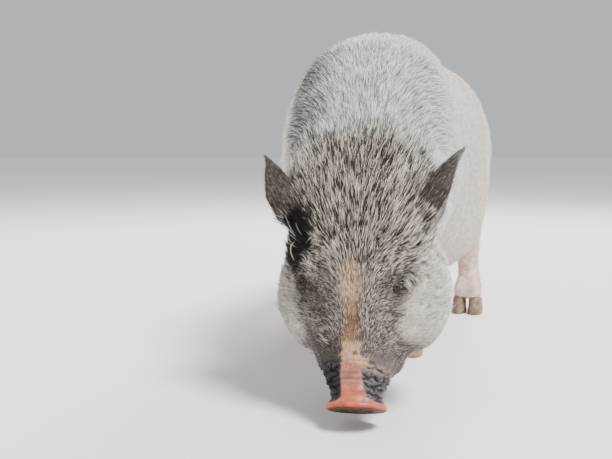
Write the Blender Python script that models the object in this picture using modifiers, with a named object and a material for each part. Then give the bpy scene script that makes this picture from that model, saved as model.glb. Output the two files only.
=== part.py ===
"""A pot-bellied pig at life size, standing with its head lowered to sniff the ground.

The pig is modelled straight, facing -Y, with X to its left: X across, Y from the nose back, Z up.
It is then bent sideways along its own length, and set over the origin of the floor.
"""

import math
import random

import bmesh
import bpy
import numpy as np
from mathutils import Matrix, Vector
from mathutils.bvhtree import BVHTree

# Driving sizes, in metres and degrees
WITHERS_TOP = 0.414
BELLY_LOW = 0.074
BODY_END = 0.700
NOSE_HEIGHT = 0.0185
HEAD_PITCH = math.radians(64)

SNOUT_HALF_WIDTH = 0.0292
SNOUT_HALF_HEIGHT = 0.0245
SNOUT_DEPTH = 0.012
NOSTRIL = (0.0112, -0.001, 0.0005)
NOSTRIL_TURN = math.radians(14)
EYE_RADIUS = 0.0105
EYE_ACROSS = 0.0425
EYE_ALONG = 0.1155
EYE_ABOVE = 0.0265
JOWL_HALF_WIDTH = 0.0890
EAR_LENGTH = 0.086
EAR_HALF_WIDTH = 0.039
EAR_THICKNESS = 0.0034
EAR_ROOT = (0.0490, 0.194, 0.027)
FORE_FOOT = (0.040, 0.292)
HIND_FOOT = (0.086, 0.592)
SOLE_LEVEL = 0.0
CORONET = 0.024
TOE_HALF_GAP = 0.0125

GAP = 0.0003
HALF_GAP = GAP / 2
VOXEL = 0.0034
RELAX_ROUNDS = 44
FLESH_TRIANGLES = 5000
EYE_DEPTH = 0.0014
HEAD_DETAIL = 3.0
EYE_FACETS = 14
HOOF_FACETS = 14
EAR_RISES = (-0.30, 0.0, 0.3, 0.6, 0.85, 1.0)
EAR_WIDTHS = (0.80, 1.12, 1.10, 0.70, 0.28, 0.05)
EAR_CURLS = (150, 116, 94, 80, 62, 50)
LOCK_LENGTH = 0.052
LOCK_WIDTH = 0.0165
LOCK_THICKNESS = 0.0030
LOCK_HEIGHT = 0.0056
LOCK_RISE = ((0.0, -0.80), (0.22, 0.22), (0.48, 0.64), (0.76, 0.90), (1.0, 1.0))
LOCK_ROW = 0.028
BRUSH_LOCKS = 5
TAIL_END = Vector((0.0148, 0.7100, 0.212))
LOCK_MARGIN = 0.004
SHORTEST_LOCK = 0.018
DRUM_FACETS = 16
LOCK_PLACES = (0.08, 0.12, 0.22, 0.30, 0.40, 0.62)
LOCK_SPREADS = (0.70, 0.85, 0.95, 0.62, 0.28, 0.16)
LOCK_COUNTS = (6, 7, 7, 5, 2, 1)

# Cuts across the body, each behind the node that it ends: a point and the direction back
CUTS = {
    "head": ((0, 0.105, 0.200), (0, 0.83, 0.56)),
    "neck": ((0, 0.205, 0.240), (0, 0.975, 0.22)),
    "shoulders": ((0, 0.360, 0.200), (0, 1, 0)),
    "barrel": ((0, 0.520, 0.200), (0, 1, 0)),
}
COAT_END = ((0, 0.655, 0.300), (0, 1, 0))
JAW_BLOCK = ((-0.08, -0.02, -0.12), (0.08, 0.078, -0.0165))

SIDES = {"left": 1, "right": -1}

# The sideways path: distance back, heading of the body there, and lean to its right, in degrees
PATH = (
    (-0.10, 13.0, 2.7),
    (0.08, 13.0, 2.7),
    (0.14, 5.5, 1.6),
    (0.20, 4.0, 0.0),
    (0.39, 20.0, 0.0),
    (0.90, 21.5, 0.0),
)
PATH_AXIS_HEIGHT = 0.10
CREASE = math.radians(38)

# Start of a node's name, linear colour and roughness
SURFACES = (
    ("eye", (0.020, 0.012, 0.009), 0.15),
    ("ear", (0.085, 0.070, 0.064), 0.75),
    ("hoof", (0.150, 0.110, 0.085), 0.55),
    ("dewclaw", (0.190, 0.145, 0.110), 0.55),
    ("snout", (0.560, 0.235, 0.170), 0.45),
    ("lower_jaw", (0.300, 0.225, 0.200), 0.65),
    ("head", (0.160, 0.130, 0.115), 0.80),
    ("neck", (0.210, 0.185, 0.170), 0.80),
    ("shoulders", (0.400, 0.400, 0.410), 0.80),
    ("foreleg", (0.560, 0.390, 0.330), 0.75),
    ("hindleg", (0.580, 0.420, 0.360), 0.75),
    ("tail", (0.560, 0.460, 0.380), 0.80),
    ("barrel", (0.620, 0.560, 0.480), 0.80),
    ("rump", (0.630, 0.580, 0.500), 0.80),
)

# Sections of neck and barrel: y, z, climb in degrees, half width, half height, sag
TRUNK_STATIONS = (
    (0.070, 0.165, 42, 0.064, 0.060, 0.00),
    (0.105, 0.190, 40, 0.080, 0.082, 0.00),
    (0.150, 0.214, 33, 0.090, 0.093, 0.02),
    (0.195, 0.238, 22, 0.101, 0.114, 0.04),
    (0.250, 0.2495, 11, 0.109, 0.1445, 0.05),
    (0.320, (WITHERS_TOP + 0.092) / 2, 3, 0.116, (WITHERS_TOP - 0.092) / 2, 0.08),
    (0.400, 0.2395, 0, 0.124, 0.1575, 0.12),
    (0.470, (0.3920 + BELLY_LOW) / 2, 0, 0.128, (0.3920 - BELLY_LOW) / 2, 0.13),
    (0.535, 0.249, -2, 0.123, 0.153, 0.09),
    (0.590, 0.270, -9, 0.112, 0.131, 0.03),
    (0.640, 0.274, -20, 0.089, 0.102, 0.00),
    (0.676, 0.262, -28, 0.056, 0.056, 0.00),
    (BODY_END - 0.008, 0.258, -30, 0.020, 0.020, 0.00),
)


def clear_scene():
    for obj in list(bpy.data.objects):
        bpy.data.objects.remove(obj)


def linked(obj):
    bpy.context.scene.collection.objects.link(obj)
    return obj


def remove(obj):
    bpy.data.objects.remove(obj)


def mesh_from(name, bm):
    """A linked object that takes over what bm holds, with its faces pointing out."""
    bmesh.ops.recalc_face_normals(bm, faces=bm.faces)
    mesh = bpy.data.meshes.new(name)
    bm.to_mesh(mesh)
    bm.free()
    return linked(bpy.data.objects.new(name, mesh))


def bake(obj):
    """Applies the object's modifiers."""
    graph = bpy.context.evaluated_depsgraph_get()
    obj.data = bpy.data.meshes.new_from_object(obj.evaluated_get(graph))
    obj.modifiers.clear()
    return obj


def points_of(obj):
    co = np.empty(len(obj.data.vertices) * 3, np.float32)
    obj.data.vertices.foreach_get("co", co)
    return co.reshape(-1, 3).astype(float)


def normals_of(obj):
    no = np.empty(len(obj.data.vertices) * 3, np.float32)
    obj.data.vertices.foreach_get("normal", no)
    return no.reshape(-1, 3).astype(float)


def set_points(obj, points):
    obj.data.vertices.foreach_set("co", points.astype(np.float32).ravel())
    obj.data.update()


def copy_of(obj, name):
    twin = bpy.data.objects.new(name, obj.data.copy())
    return linked(twin)


def grown(obj, by):
    """A copy of a closed shape, pushed out along its own normals."""
    twin = copy_of(obj, obj.name + "_grown")
    set_points(twin, points_of(twin) + normals_of(twin) * by)
    return twin


def grown_tree(obj):
    """The surface of a closed shape, a little more than the gap outside it."""
    twin = grown(obj, 1.6 * GAP)
    tree = tree_of(twin)
    remove(twin)
    return tree


def largest_shell(obj):
    """Keeps only the largest closed surface of a mesh."""
    bm = bmesh.new()
    bm.from_mesh(obj.data)
    unseen, shells = set(bm.faces), []
    while unseen:
        front, shell = [unseen.pop()], []
        while front:
            face = front.pop()
            shell.append(face)
            for edge in face.edges:
                for other in edge.link_faces:
                    if other in unseen:
                        unseen.remove(other)
                        front.append(other)
        shells.append(shell)
    shells.sort(key=lambda shell: sum(f.calc_area() for f in shell))
    drop = [face for shell in shells[:-1] for face in shell]
    bmesh.ops.delete(bm, geom=drop, context="FACES")
    bm.to_mesh(obj.data)
    bm.free()
    return obj


def boolean(obj, other, operation, keep_other=False):
    modifier = obj.modifiers.new(operation.lower(), "BOOLEAN")
    modifier.operation = operation
    modifier.object = other
    modifier.solver = "EXACT"
    bake(obj)
    if not keep_other:
        remove(other)
    return obj


def half(obj, point, normal, name=None):
    """What lies behind a plane, closed at the cut. Works on a copy if it is given a name."""
    out = copy_of(obj, name) if name else obj
    bm = bmesh.new()
    bm.from_mesh(out.data)
    cut = bmesh.ops.bisect_plane(
        bm, geom=bm.verts[:] + bm.edges[:] + bm.faces[:], dist=1e-7,
        plane_co=point, plane_no=normal, clear_outer=True,
    )
    rim = [e for e in cut["geom_cut"] if isinstance(e, bmesh.types.BMEdge)]
    bmesh.ops.holes_fill(bm, edges=rim, sides=0)
    bmesh.ops.triangulate(bm, faces=[f for f in bm.faces if len(f.verts) > 3])
    bm.to_mesh(out.data)
    bm.free()
    return out


def parted(obj, point, normal, front_name, back_name):
    """The two sides of a thin plane cut. The front is the side that the normal points away from."""
    point, normal = posed_plane(point, normal)
    front = half(obj, point - normal * HALF_GAP, normal, front_name)
    back = half(obj, point + normal * HALF_GAP, -normal, back_name)
    remove(obj)
    return front, back


# Basic closed shapes


def ball(name, centre, radii, turn=Matrix.Identity(4), segments=28):
    bm = bmesh.new()
    place = Matrix.Translation(centre) @ turn @ Matrix.Diagonal((*radii, 1))
    bmesh.ops.create_uvsphere(
        bm, u_segments=segments, v_segments=segments // 2, radius=1, matrix=place
    )
    return mesh_from(name, bm)


def loft(name, rings):
    """A closed skin over rings of equal count, with a flat cap on each end."""
    bm = bmesh.new()
    rows = [[bm.verts.new(point) for point in ring] for ring in rings]
    count = len(rows[0])
    for low, high in zip(rows, rows[1:]):
        for i in range(count):
            j = (i + 1) % count
            bm.faces.new((low[i], low[j], high[j], high[i]))
    bm.faces.new(rows[0])
    bm.faces.new(rows[-1])
    return mesh_from(name, bm)


def power_curve(value, power):
    """A cosine or sine pushed out towards a squarer outline."""
    return math.copysign(abs(value) ** (2 / power), value)


def section(centre, back, up, wide, high, low, power=2.2, sag=0.0, count=36):
    """One ring of a loft: up and back span the pig's own upright plane, and sag moves the width down."""
    ring = []
    for i in range(count):
        angle = 2 * math.pi * i / count
        across = power_curve(math.cos(angle), power)
        rise = power_curve(math.sin(angle), power)
        across *= wide * (1 - sag * rise)
        rise *= high if rise > 0 else low
        ring.append(Vector(centre) + Vector((across, 0, 0)) + Vector(up) * rise)
    return ring


def tilted(degrees):
    """The directions back and up of a section whose way back climbs by an angle."""
    angle = math.radians(degrees)
    back = Vector((0, math.cos(angle), math.sin(angle)))
    return back, Vector((0, -math.sin(angle), math.cos(angle)))


def head_point(across, along, above):
    """A point of the head, measured from the middle of the nose disc along the lowered muzzle."""
    cos, sin = math.cos(HEAD_PITCH), math.sin(HEAD_PITCH)
    return Vector((across, along * cos - above * sin, NOSE_HEIGHT + along * sin + above * cos))


def head_direction(across, along, above):
    return (head_point(across, along, above) - head_point(0, 0, 0)).normalized()


# The pose


def bent(points):
    """Carries straight points onto the pig's own curved path."""
    path = np.array(PATH)
    steps = np.linspace(path[0, 0], path[-1, 0], 1001)
    heading = np.radians(np.interp(steps, path[:, 0], path[:, 1]))
    stride = steps[1] - steps[0]
    path_x = np.cumsum(np.sin(heading)) * stride
    path_y = np.cumsum(np.cos(heading)) * stride
    lean = np.radians(np.interp(points[:, 1], path[:, 0], path[:, 2]))
    above = points[:, 2] - PATH_AXIS_HEIGHT
    across = points[:, 0] * np.cos(lean) - above * np.sin(lean)
    turn = np.interp(points[:, 1], steps, heading)
    out = points.copy()
    out[:, 0] = np.interp(points[:, 1], steps, path_x) + across * np.cos(turn)
    out[:, 1] = np.interp(points[:, 1], steps, path_y) - across * np.sin(turn)
    out[:, 2] = PATH_AXIS_HEIGHT + points[:, 0] * np.sin(lean) + above * np.cos(lean)
    return out


def posed(obj):
    """The object carried onto the path, in triangles, which stay flat as they are carried."""
    bm = bmesh.new()
    bm.from_mesh(obj.data)
    bmesh.ops.triangulate(bm, faces=bm.faces)
    bm.to_mesh(obj.data)
    bm.free()
    set_points(obj, bent(points_of(obj)))
    return obj


def posed_plane(point, normal):
    """A plane of the straight pig, carried onto the path with its middle point."""
    step = Vector(normal).normalized() * 1e-3
    here, there = bent(np.array([Vector(point), Vector(point) + step]))
    return Vector(here), Vector(there - here).normalized()


# Flesh, as overlapping masses


def trunk_masses():
    rings = []
    for y, z, climb, wide, high, sag in TRUNK_STATIONS:
        back, up = tilted(climb)
        rings.append(section((0, y, z), back, up, wide, high, high, 2.4, sag))
    return [loft("trunk", rings)]


def head_masses():
    """The head in one loft, from behind the nose disc to the nape: along, half width, above, below."""
    stations = (
        (SNOUT_DEPTH - 0.006, 0.0235, 0.0215, 0.0180),
        (0.016, 0.0270, 0.0222, 0.0200),
        (0.030, 0.0322, 0.0240, 0.0270),
        (0.048, 0.0365, 0.0262, 0.0350),
        (0.068, 0.0400, 0.0272, 0.0420),
        (0.088, 0.0465, 0.0312, 0.0500),
        (0.108, 0.0570, 0.0410, 0.0580),
        (0.130, 0.0700, 0.0530, 0.0660),
        (0.155, 0.0750, 0.0630, 0.0710),
        (0.182, 0.0680, 0.0690, 0.0700),
        (0.207, 0.0575, 0.0680, 0.0640),
        (0.232, 0.0450, 0.0560, 0.0500),
    )
    back = head_direction(0, 1, 0)
    up = head_direction(0, 0, 1)
    rings = [
        section(head_point(0, along, 0), back, up, wide, high, low, 2.35)
        for along, wide, high, low in stations
    ]
    masses = [loft("skull", rings)]
    tip = Matrix.Rotation(HEAD_PITCH, 4, "X")
    for side in SIDES.values():
        jowl_wide = 0.044
        jowl = head_point(side * (JOWL_HALF_WIDTH - jowl_wide), 0.122, -0.025)
        masses.append(ball("jowl", jowl, (jowl_wide, 0.062, 0.056), tip))
        lip = head_point(side * 0.0290, 0.054, -0.017)
        masses.append(ball("lip", lip, (0.0155, 0.0205, 0.016), tip))
        brow = head_point(side * 0.040, 0.129, 0.030)
        masses.append(ball("brow", brow, (0.021, 0.022, 0.015), tip))
        cheek = head_point(side * 0.036, 0.083, 0.000)
        masses.append(ball("cheek", cheek, (0.022, 0.030, 0.024), tip))
        ear_root = head_point(side * 0.052, 0.194, 0.030)
        masses.append(ball("ear_root", ear_root, (0.020, 0.028, 0.024), tip))
    chin = head_point(0, 0.044, -0.031)
    masses.append(ball("chin", chin, (0.022, 0.027, 0.016), tip))
    jaw = head_point(0, 0.088, -0.046)
    masses.append(ball("jaw", jaw, (0.038, 0.052, 0.024), tip))
    throat = head_point(0, 0.165, -0.062)
    masses.append(ball("throat", throat, (0.052, 0.060, 0.036), tip))
    return masses


def limb(name, stations, count=24):
    """A loft down a leg, across its own path: x, y, z, half width, half depth."""
    centres = [Vector(station[:3]) for station in stations]
    rings = []
    for i, (centre, station) in enumerate(zip(centres, stations)):
        ahead = centres[min(i + 1, len(centres) - 1)]
        behind = centres[max(i - 1, 0)]
        down = (ahead - behind).normalized()
        across = Vector((0, 1, 0)).cross(down).normalized()
        fore = down.cross(across)
        ring = []
        for k in range(count):
            angle = 2 * math.pi * k / count
            ring.append(
                centre
                + across * (station[3] * math.cos(angle))
                + fore * (station[4] * math.sin(angle))
            )
        rings.append(ring)
    return loft(name, rings)


def digits(side, foot):
    """The two fleshy toes that carry the main hooves, and the stubs of the dew claws."""
    x, y = foot
    toes = []
    for way in (-1, 1):
        centre = (side * x + way * (TOE_HALF_GAP - 0.0010), y - 0.007, 0.034)
        lean = Matrix.Rotation(math.radians(20), 4, "X")
        toes.append(ball("digit", centre, (0.0116, 0.0165, 0.024), lean))
        stub = (side * x + way * 0.0125, y + 0.0155, 0.045)
        toes.append(ball("stub", stub, (0.0078, 0.0080, 0.010)))
    return toes


def foreleg_masses(side):
    x, y = FORE_FOOT
    leg = limb("foreleg", (
        (side * 0.058, 0.262, 0.250, 0.038, 0.062),
        (side * 0.062, 0.268, 0.200, 0.036, 0.054),
        (side * 0.056, 0.282, 0.155, 0.030, 0.038),
        (side * 0.049, y - 0.002, 0.120, 0.0240, 0.0270),
        (side * 0.044, y - 0.005, 0.093, 0.0215, 0.0225),
        (side * 0.042, y - 0.004, 0.078, 0.0195, 0.0200),
        (side * 0.041, y - 0.001, 0.060, 0.0185, 0.0180),
        (side * x, y - 0.002, 0.040, 0.0205, 0.0185),
        (side * x, y - 0.006, 0.024, 0.0200, 0.0170),
    ))
    blade = ball("blade", (side * 0.074, 0.262, 0.262), (0.034, 0.058, 0.088))
    return [leg, blade, *digits(side, FORE_FOOT)]


def hindleg_masses(side):
    x, y = HIND_FOOT
    leg = limb("hindleg", (
        (side * 0.066, 0.568, 0.262, 0.050, 0.078),
        (side * 0.076, 0.574, 0.210, 0.045, 0.068),
        (side * 0.081, 0.584, 0.165, 0.034, 0.046),
        (side * 0.082, 0.602, 0.130, 0.0250, 0.0310),
        (side * 0.082, 0.613, 0.104, 0.0205, 0.0265),
        (side * 0.082, y + 0.014, 0.082, 0.0185, 0.0205),
        (side * x, y + 0.008, 0.060, 0.0180, 0.0180),
        (side * x, y + 0.001, 0.040, 0.0200, 0.0185),
        (side * x, y - 0.005, 0.024, 0.0195, 0.0170),
    ))
    hock = ball("hock", (side * 0.082, 0.629, 0.112), (0.012, 0.012, 0.018))
    ham = ball("ham", (side * 0.066, 0.600, 0.262), (0.052, 0.078, 0.094))
    return [leg, hock, ham, *digits(side, HIND_FOOT)]


def tree_of(obj):
    """A copy of the object's surface to look points up on."""
    bm = bmesh.new()
    bm.from_mesh(obj.data)
    tree = BVHTree.FromBMesh(bm)
    bm.free()
    return tree


def facing_out(obj):
    bm = bmesh.new()
    bm.from_mesh(obj.data)
    bmesh.ops.recalc_face_normals(bm, faces=bm.faces)
    bm.to_mesh(obj.data)
    bm.free()
    return obj


def joined(name, pieces):
    """One mesh of many overlapping closed pieces, not yet fused."""
    bm = bmesh.new()
    for piece in pieces:
        bm.from_mesh(piece.data)
        remove(piece)
    return mesh_from(name, bm)


def relaxed(points, edges, rounds, hold):
    """Points pulled towards the mean of their neighbours, less where hold is near 1."""
    one, two = edges[:, 0], edges[:, 1]
    degree = np.bincount(edges.ravel(), minlength=len(points))[:, None]
    pull = 0.6 * (1 - hold)[:, None]
    for _ in range(rounds):
        total = np.zeros_like(points)
        for axis in range(3):
            total[:, axis] += np.bincount(one, points[two, axis], len(points))
            total[:, axis] += np.bincount(two, points[one, axis], len(points))
        points = points + pull * (total / degree - points)
    return points


def near(points, centre, radius):
    """A smooth weight, 1 at the centre and 0 from the radius outwards."""
    away = np.linalg.norm(points - np.array(centre), axis=1) / radius
    return np.clip(1 - away * away, 0, 1) ** 2


def ridge(points, path, radius):
    """The same weight round a line through several points."""
    weight = np.zeros(len(points))
    for start, end in zip(path, path[1:]):
        start, end = np.array(start), np.array(end)
        line = end - start
        share = np.clip((points - start) @ line / (line @ line), 0, 1)
        away = np.linalg.norm(points - start - share[:, None] * line, axis=1) / radius
        weight = np.maximum(weight, np.clip(1 - away * away, 0, 1) ** 2)
    return weight


def eye_direction(side):
    return head_direction(side * 0.80, -0.30, 0.52)


def eye_axes(side):
    """A rotation whose Z looks out of the eye and whose X runs along the slit of its lids."""
    out = eye_direction(side)
    slit = head_direction(side * 0.66, 0.70, -0.61)
    slit = (slit - out * slit.dot(out)).normalized()
    return Matrix((slit, out.cross(slit), out)).transposed().to_4x4()


def eye_on_skin(body, side):
    """Where the eye looks out of the skin."""
    out = eye_direction(side)
    aim = head_point(side * EYE_ACROSS, EYE_ALONG, EYE_ABOVE)
    return tree_of(body).ray_cast(aim + out * 0.05, -out)[0]


def lid_strokes(middle, side):
    """The rolls of the upper and the lower lid, and the fold that sets each off from the face."""
    axes = eye_axes(side).to_3x3()
    strokes = []
    for way, lift, swell in ((side, 1.0, 0.0036), (-side, 0.9, 0.0028)):
        for out, radius, height in ((1.0, 0.0056, swell), (2.2, 0.0052, -0.6 * swell)):
            path = [
                middle + axes @ Vector((x * (0.8 + 0.2 * out), way * y * lift * out, z))
                for x, y, z in (
                    (-0.0125, 0.0010, -0.003), (-0.006, 0.0058, 0),
                    (0.004, 0.0062, 0), (0.0125, 0.0012, -0.003),
                )
            ]
            strokes.append((path, radius, height))
    return strokes


def face_strokes():
    """Folds of the face: a path of head points, a radius, and how far it swells (or sinks, below 0)."""
    strokes = []
    for side in SIDES.values():
        def path(*steps):
            return [head_point(side * across, along, above) for across, along, above in steps]

        strokes += [
            (path((0.044, 0.102, 0.022), (0.045, 0.122, 0.028)), 0.019, -0.0048),
            (path((0.034, 0.104, 0.040), (0.044, 0.128, 0.044), (0.058, 0.140, 0.032)), 0.011, 0.0048),
            (path((0.046, 0.092, 0.012), (0.058, 0.106, 0.010), (0.064, 0.124, 0.014)), 0.010, 0.0036),
            (path((0.030, 0.082, 0.030), (0.042, 0.088, 0.018), (0.052, 0.094, 0.000)), 0.008, -0.0030),
            (path((0.026, 0.066, 0.030), (0.038, 0.072, 0.018), (0.046, 0.080, 0.004)), 0.008, 0.0022),
            (path((0.024, 0.016, 0.010), (0.028, 0.020, -0.004)), 0.006, -0.0020),
            (path((0.006, 0.021, 0.024), (0.020, 0.023, 0.020), (0.028, 0.028, 0.004)), 0.0050, -0.0020),
            (path((0.000, 0.036, 0.027), (0.018, 0.036, 0.024)), 0.0050, -0.0016),
            (path((0.026, 0.016, -0.013), (0.034, 0.036, -0.016), (0.044, 0.066, -0.018)), 0.0055, -0.0038),
        ]
    strokes.append(([head_point(0, 0.094, 0.040), head_point(0, 0.124, 0.055)], 0.022, -0.0024))
    return strokes


def flesh():
    """The whole body in one closed skin, before it is parted."""
    masses = trunk_masses() + head_masses()
    for side in SIDES.values():
        masses += foreleg_masses(side) + hindleg_masses(side)
    body = joined("flesh", masses)
    remesh = body.modifiers.new("fuse", "REMESH")
    remesh.mode = "VOXEL"
    remesh.voxel_size = VOXEL
    bake(body)
    largest_shell(body)
    points = points_of(body)
    edges = np.array([e.vertices[:] for e in body.data.edges])
    head = near(points, head_point(0, 0.07, 0.0), 0.22)
    hold = np.maximum(0.45 * np.sqrt(head), 0.8 * near(points, head_point(0, 0, 0), 0.075))
    hold = np.maximum(hold, np.interp(points[:, 2], (0.05, 0.12), (0.75, 0.0)))
    points = relaxed(points, edges, RELAX_ROUNDS, hold)
    set_points(body, points)
    strokes = face_strokes()
    for side in SIDES.values():
        strokes += lid_strokes(eye_on_skin(body, side), side)
    for path, radius, swell in strokes:
        normals = normals_of(body)
        points = points + normals * (ridge(points, path, radius) * swell)[:, None]
        set_points(body, points)
    return body


def swollen(points, undo=False):
    """Points with the head enlarged about the nose, or brought back to size."""
    nose = np.array(head_point(0, 0, 0))
    reach = np.linspace(0, 1.5, 600)
    stretch = np.interp(reach, (0, 0.19, 0.30, 1.5), (HEAD_DETAIL, HEAD_DETAIL, 1, 1))
    swell = np.concatenate(([0], np.cumsum((stretch[1:] + stretch[:-1]) / 2 * reach[1])))
    away = points - nose
    far = np.linalg.norm(away, axis=1)
    new = np.interp(far, swell, reach) if undo else np.interp(far, reach, swell)
    return nose + away * (new / np.maximum(far, 1e-9))[:, None]


def thinned(obj, triangles):
    """Fewer faces, kept closer together on the head, which is swollen while they are chosen."""
    set_points(obj, swollen(points_of(obj)))
    modifier = obj.modifiers.new("thin", "DECIMATE")
    modifier.ratio = triangles / sum(len(p.vertices) - 2 for p in obj.data.polygons)
    bake(obj)
    set_points(obj, swollen(points_of(obj), undo=True))
    return obj


# Snout, eyes and ears


def snout():
    """The nose disc, with a rolled rim and two nostrils."""
    back, up = head_direction(0, 1, 0), head_direction(0, 0, 1)
    profile = (
        (SNOUT_DEPTH - HALF_GAP, 0.90),
        (SNOUT_DEPTH - 0.004, 0.93),
        (0.0050, 1.00),
        (0.0020, 1.01),
        (0.0000, 0.96),
        (-0.0012, 0.85),
        (-0.0006, 0.60),
    )
    rings = [
        section(
            head_point(0, along, 0), back, up, SNOUT_HALF_WIDTH * share,
            SNOUT_HALF_HEIGHT * share, SNOUT_HALF_HEIGHT * 0.92 * share, 2.1, 0.04, 28,
        )
        for along, share in profile
    ]
    disc = loft("snout", rings)
    lean = Matrix.Rotation(HEAD_PITCH, 4, "X")
    for side in SIDES.values():
        spread = Matrix.Rotation(side * NOSTRIL_TURN, 4, "Y")
        bore = ball(
            "nostril", head_point(side * NOSTRIL[0], *NOSTRIL[1:]),
            (0.0043, 0.0085, 0.0056), lean @ spread, 12,
        )
        boolean(disc, bore, "DIFFERENCE")
    return disc


def opened_eye(head, centre, side):
    """Cuts the socket and the opening between the lids, and returns the eyeball."""
    room = EYE_RADIUS + GAP
    socket = ball("socket", centre, (room,) * 3, eye_axes(side), EYE_FACETS)
    boolean(head, posed(socket), "DIFFERENCE")
    slit = centre + eye_direction(side) * EYE_RADIUS
    cutter = ball("slit", slit, (0.0085, 0.0036, 0.009), eye_axes(side), 16)
    boolean(head, posed(cutter), "DIFFERENCE")
    return posed(ball("eye", centre, (EYE_RADIUS,) * 3, eye_axes(side), EYE_FACETS))


def ear_axes(side):
    """The ear's own directions: towards the tip, out of its opening, and across."""
    tip = Vector((side * 0.48, 0.40, 0.62)).normalized()
    mouth = Vector((side * 0.74, -0.16, -0.60))
    mouth = (mouth - tip * mouth.dot(tip)).normalized()
    return tip, mouth, tip.cross(mouth) * side


def ear_surface(side, across, rise):
    """A point of the ear: across runs from -1 to 1 round the cup, rise from 0 at the root to 1 at the tip."""
    tip, mouth, along = ear_axes(side)
    width = EAR_HALF_WIDTH * float(np.interp(rise, EAR_RISES, EAR_WIDTHS))
    curl = math.radians(float(np.interp(rise, EAR_RISES, EAR_CURLS)))
    radius = width / curl
    turn = across * curl
    root = head_point(side * EAR_ROOT[0], *EAR_ROOT[1:])
    bow = 0.010 * rise * rise
    return (
        root + tip * (EAR_LENGTH * rise) + mouth * (radius * (1 - math.cos(turn)) + bow)
        + along * (radius * math.sin(turn))
    )


def ear(name, side):
    """A cupped leaf of gristle and skin, thinner towards its tip."""
    columns, rows = 9, 9
    bm = bmesh.new()
    grid = []
    for row in range(rows):
        rise = EAR_RISES[0] + (1 - EAR_RISES[0]) * row / (rows - 1)
        grid.append([
            bm.verts.new(ear_surface(side, 2 * column / (columns - 1) - 1, rise))
            for column in range(columns)
        ])
    for low, high in zip(grid, grid[1:]):
        for i in range(columns - 1):
            bm.faces.new((low[i], low[i + 1], high[i + 1], high[i]))
    out = mesh_from(name, bm)
    shell = out.modifiers.new("thickness", "SOLIDIFY")
    shell.thickness = EAR_THICKNESS
    shell.offset = 0
    return facing_out(bake(out))


# Feet and tail


def foot_plane(foot):
    """A point and a normal of the coronet, where the hair ends and the horn begins."""
    return posed_plane((0, foot[1] - 0.006, CORONET), (0, 0.28, 1))


def hoof(name, centre_x, foot_y, way):
    """One main hoof: a flat sole, pointed in front, under a slanting coronet."""
    rings = []
    for z, share, shift in ((0, 1.0, 0), (0.004, 1.03, 0), (0.014, 0.95, 0.0018), (0.034, 0.82, 0.0058)):
        ring = []
        for i in range(HOOF_FACETS):
            angle = 2 * math.pi * i / HOOF_FACETS
            cos, sin = math.cos(angle), math.sin(angle)
            wide = 0.0122 if cos * way > 0 else 0.0112
            long = 0.0160 if sin > 0 else 0.0215
            blunt = power_curve(cos, 2.5)
            ring.append(Vector((
                centre_x + blunt * wide * share,
                foot_y - 0.006 + power_curve(sin, 1.8) * long * share + shift,
                SOLE_LEVEL + z,
            )))
        rings.append(ring)
    return loft(name, rings)


def dewclaw(name, x, y):
    return limb(name, (
        (x, y + 0.0130, 0.0500, 0.0060, 0.0060),
        (x, y + 0.0195, 0.0400, 0.0066, 0.0062),
        (x, y + 0.0245, 0.0300, 0.0050, 0.0044),
        (x, y + 0.0262, 0.0235, 0.0022, 0.0020),
    ), 8)


def shod(leg, foot, side, name):
    """Cuts the leg off at its coronet and adds its four claws."""
    point, normal = foot_plane(foot)
    half(leg, point + normal * HALF_GAP, -normal)
    largest_shell(leg)
    shape = grown(leg, GAP)
    claws = []
    for place, way in (("outer", side), ("inner", -side)):
        x = side * foot[0] + way * TOE_HALF_GAP
        horn = posed(hoof(f"hoof_{place}_{name}", x, foot[1], way))
        half(horn, point - normal * HALF_GAP, normal)
        claw = posed(dewclaw(f"dewclaw_{place}_{name}", x, foot[1]))
        boolean(claw, shape, "DIFFERENCE", keep_other=True)
        largest_shell(claw)
        claws += [horn, claw]
    remove(shape)
    return claws


def tail_core():
    return limb("tail", (
        (0.000, 0.668, 0.352, 0.0150, 0.0150),
        (0.000, 0.690, 0.340, 0.0125, 0.0125),
        (0.002, 0.704, 0.318, 0.0105, 0.0105),
        (0.006, 0.711, 0.286, 0.0086, 0.0086),
        (0.011, 0.713, 0.252, 0.0070, 0.0070),
        (0.014, 0.712, 0.224, 0.0054, 0.0054),
        (0.015, 0.709, 0.208, 0.0036, 0.0036),
    ), 12)


# Bristles


def lock(path, normals, width, thickness):
    """A flat tapered lock over a path: three-sided rings that close to a point."""
    bm = bmesh.new()
    rings = []
    count = len(path)
    for i, (point, normal) in enumerate(zip(path[:-1], normals)):
        ahead = (path[i + 1] - path[max(i - 1, 0)]).normalized()
        across = ahead.cross(normal).normalized()
        up = across.cross(ahead)
        share = 1 - (i / (count - 1)) ** 2.4
        w, h = width * share / 2, thickness * (0.4 + 0.6 * share) / 2
        rings.append([
            bm.verts.new(point + across * (w * a) + up * (h * b)) for a, b in ((-1, -1), (1, -1), (0, 1))
        ])
    tip = bm.verts.new(path[-1])
    bm.faces.new(rings[0])
    for low, high in zip(rings, rings[1:]):
        for i in range(3):
            j = (i + 1) % 3
            bm.faces.new((low[i], low[j], high[j], high[i]))
    for i in range(3):
        bm.faces.new((rings[-1][i], rings[-1][(i + 1) % 3], tip))
    return mesh_from("lock", bm)


def laid_lock(tree, start, aim, length, width):
    """A lock whose root is sunk at a point of the skin, and which then lies along the skin and lifts off it."""
    path, normals = [], []
    point, normal, _, _ = tree.find_nearest(start)
    done = 0
    for share, lift in LOCK_RISE:
        flat = (aim - normal * aim.dot(normal)).normalized()
        point, normal, _, _ = tree.find_nearest(point + flat * (length * (share - done)))
        done = share
        path.append(point + normal * (lift * LOCK_HEIGHT))
        normals.append(normal)
    return lock(path, normals, width, LOCK_THICKNESS)


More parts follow.
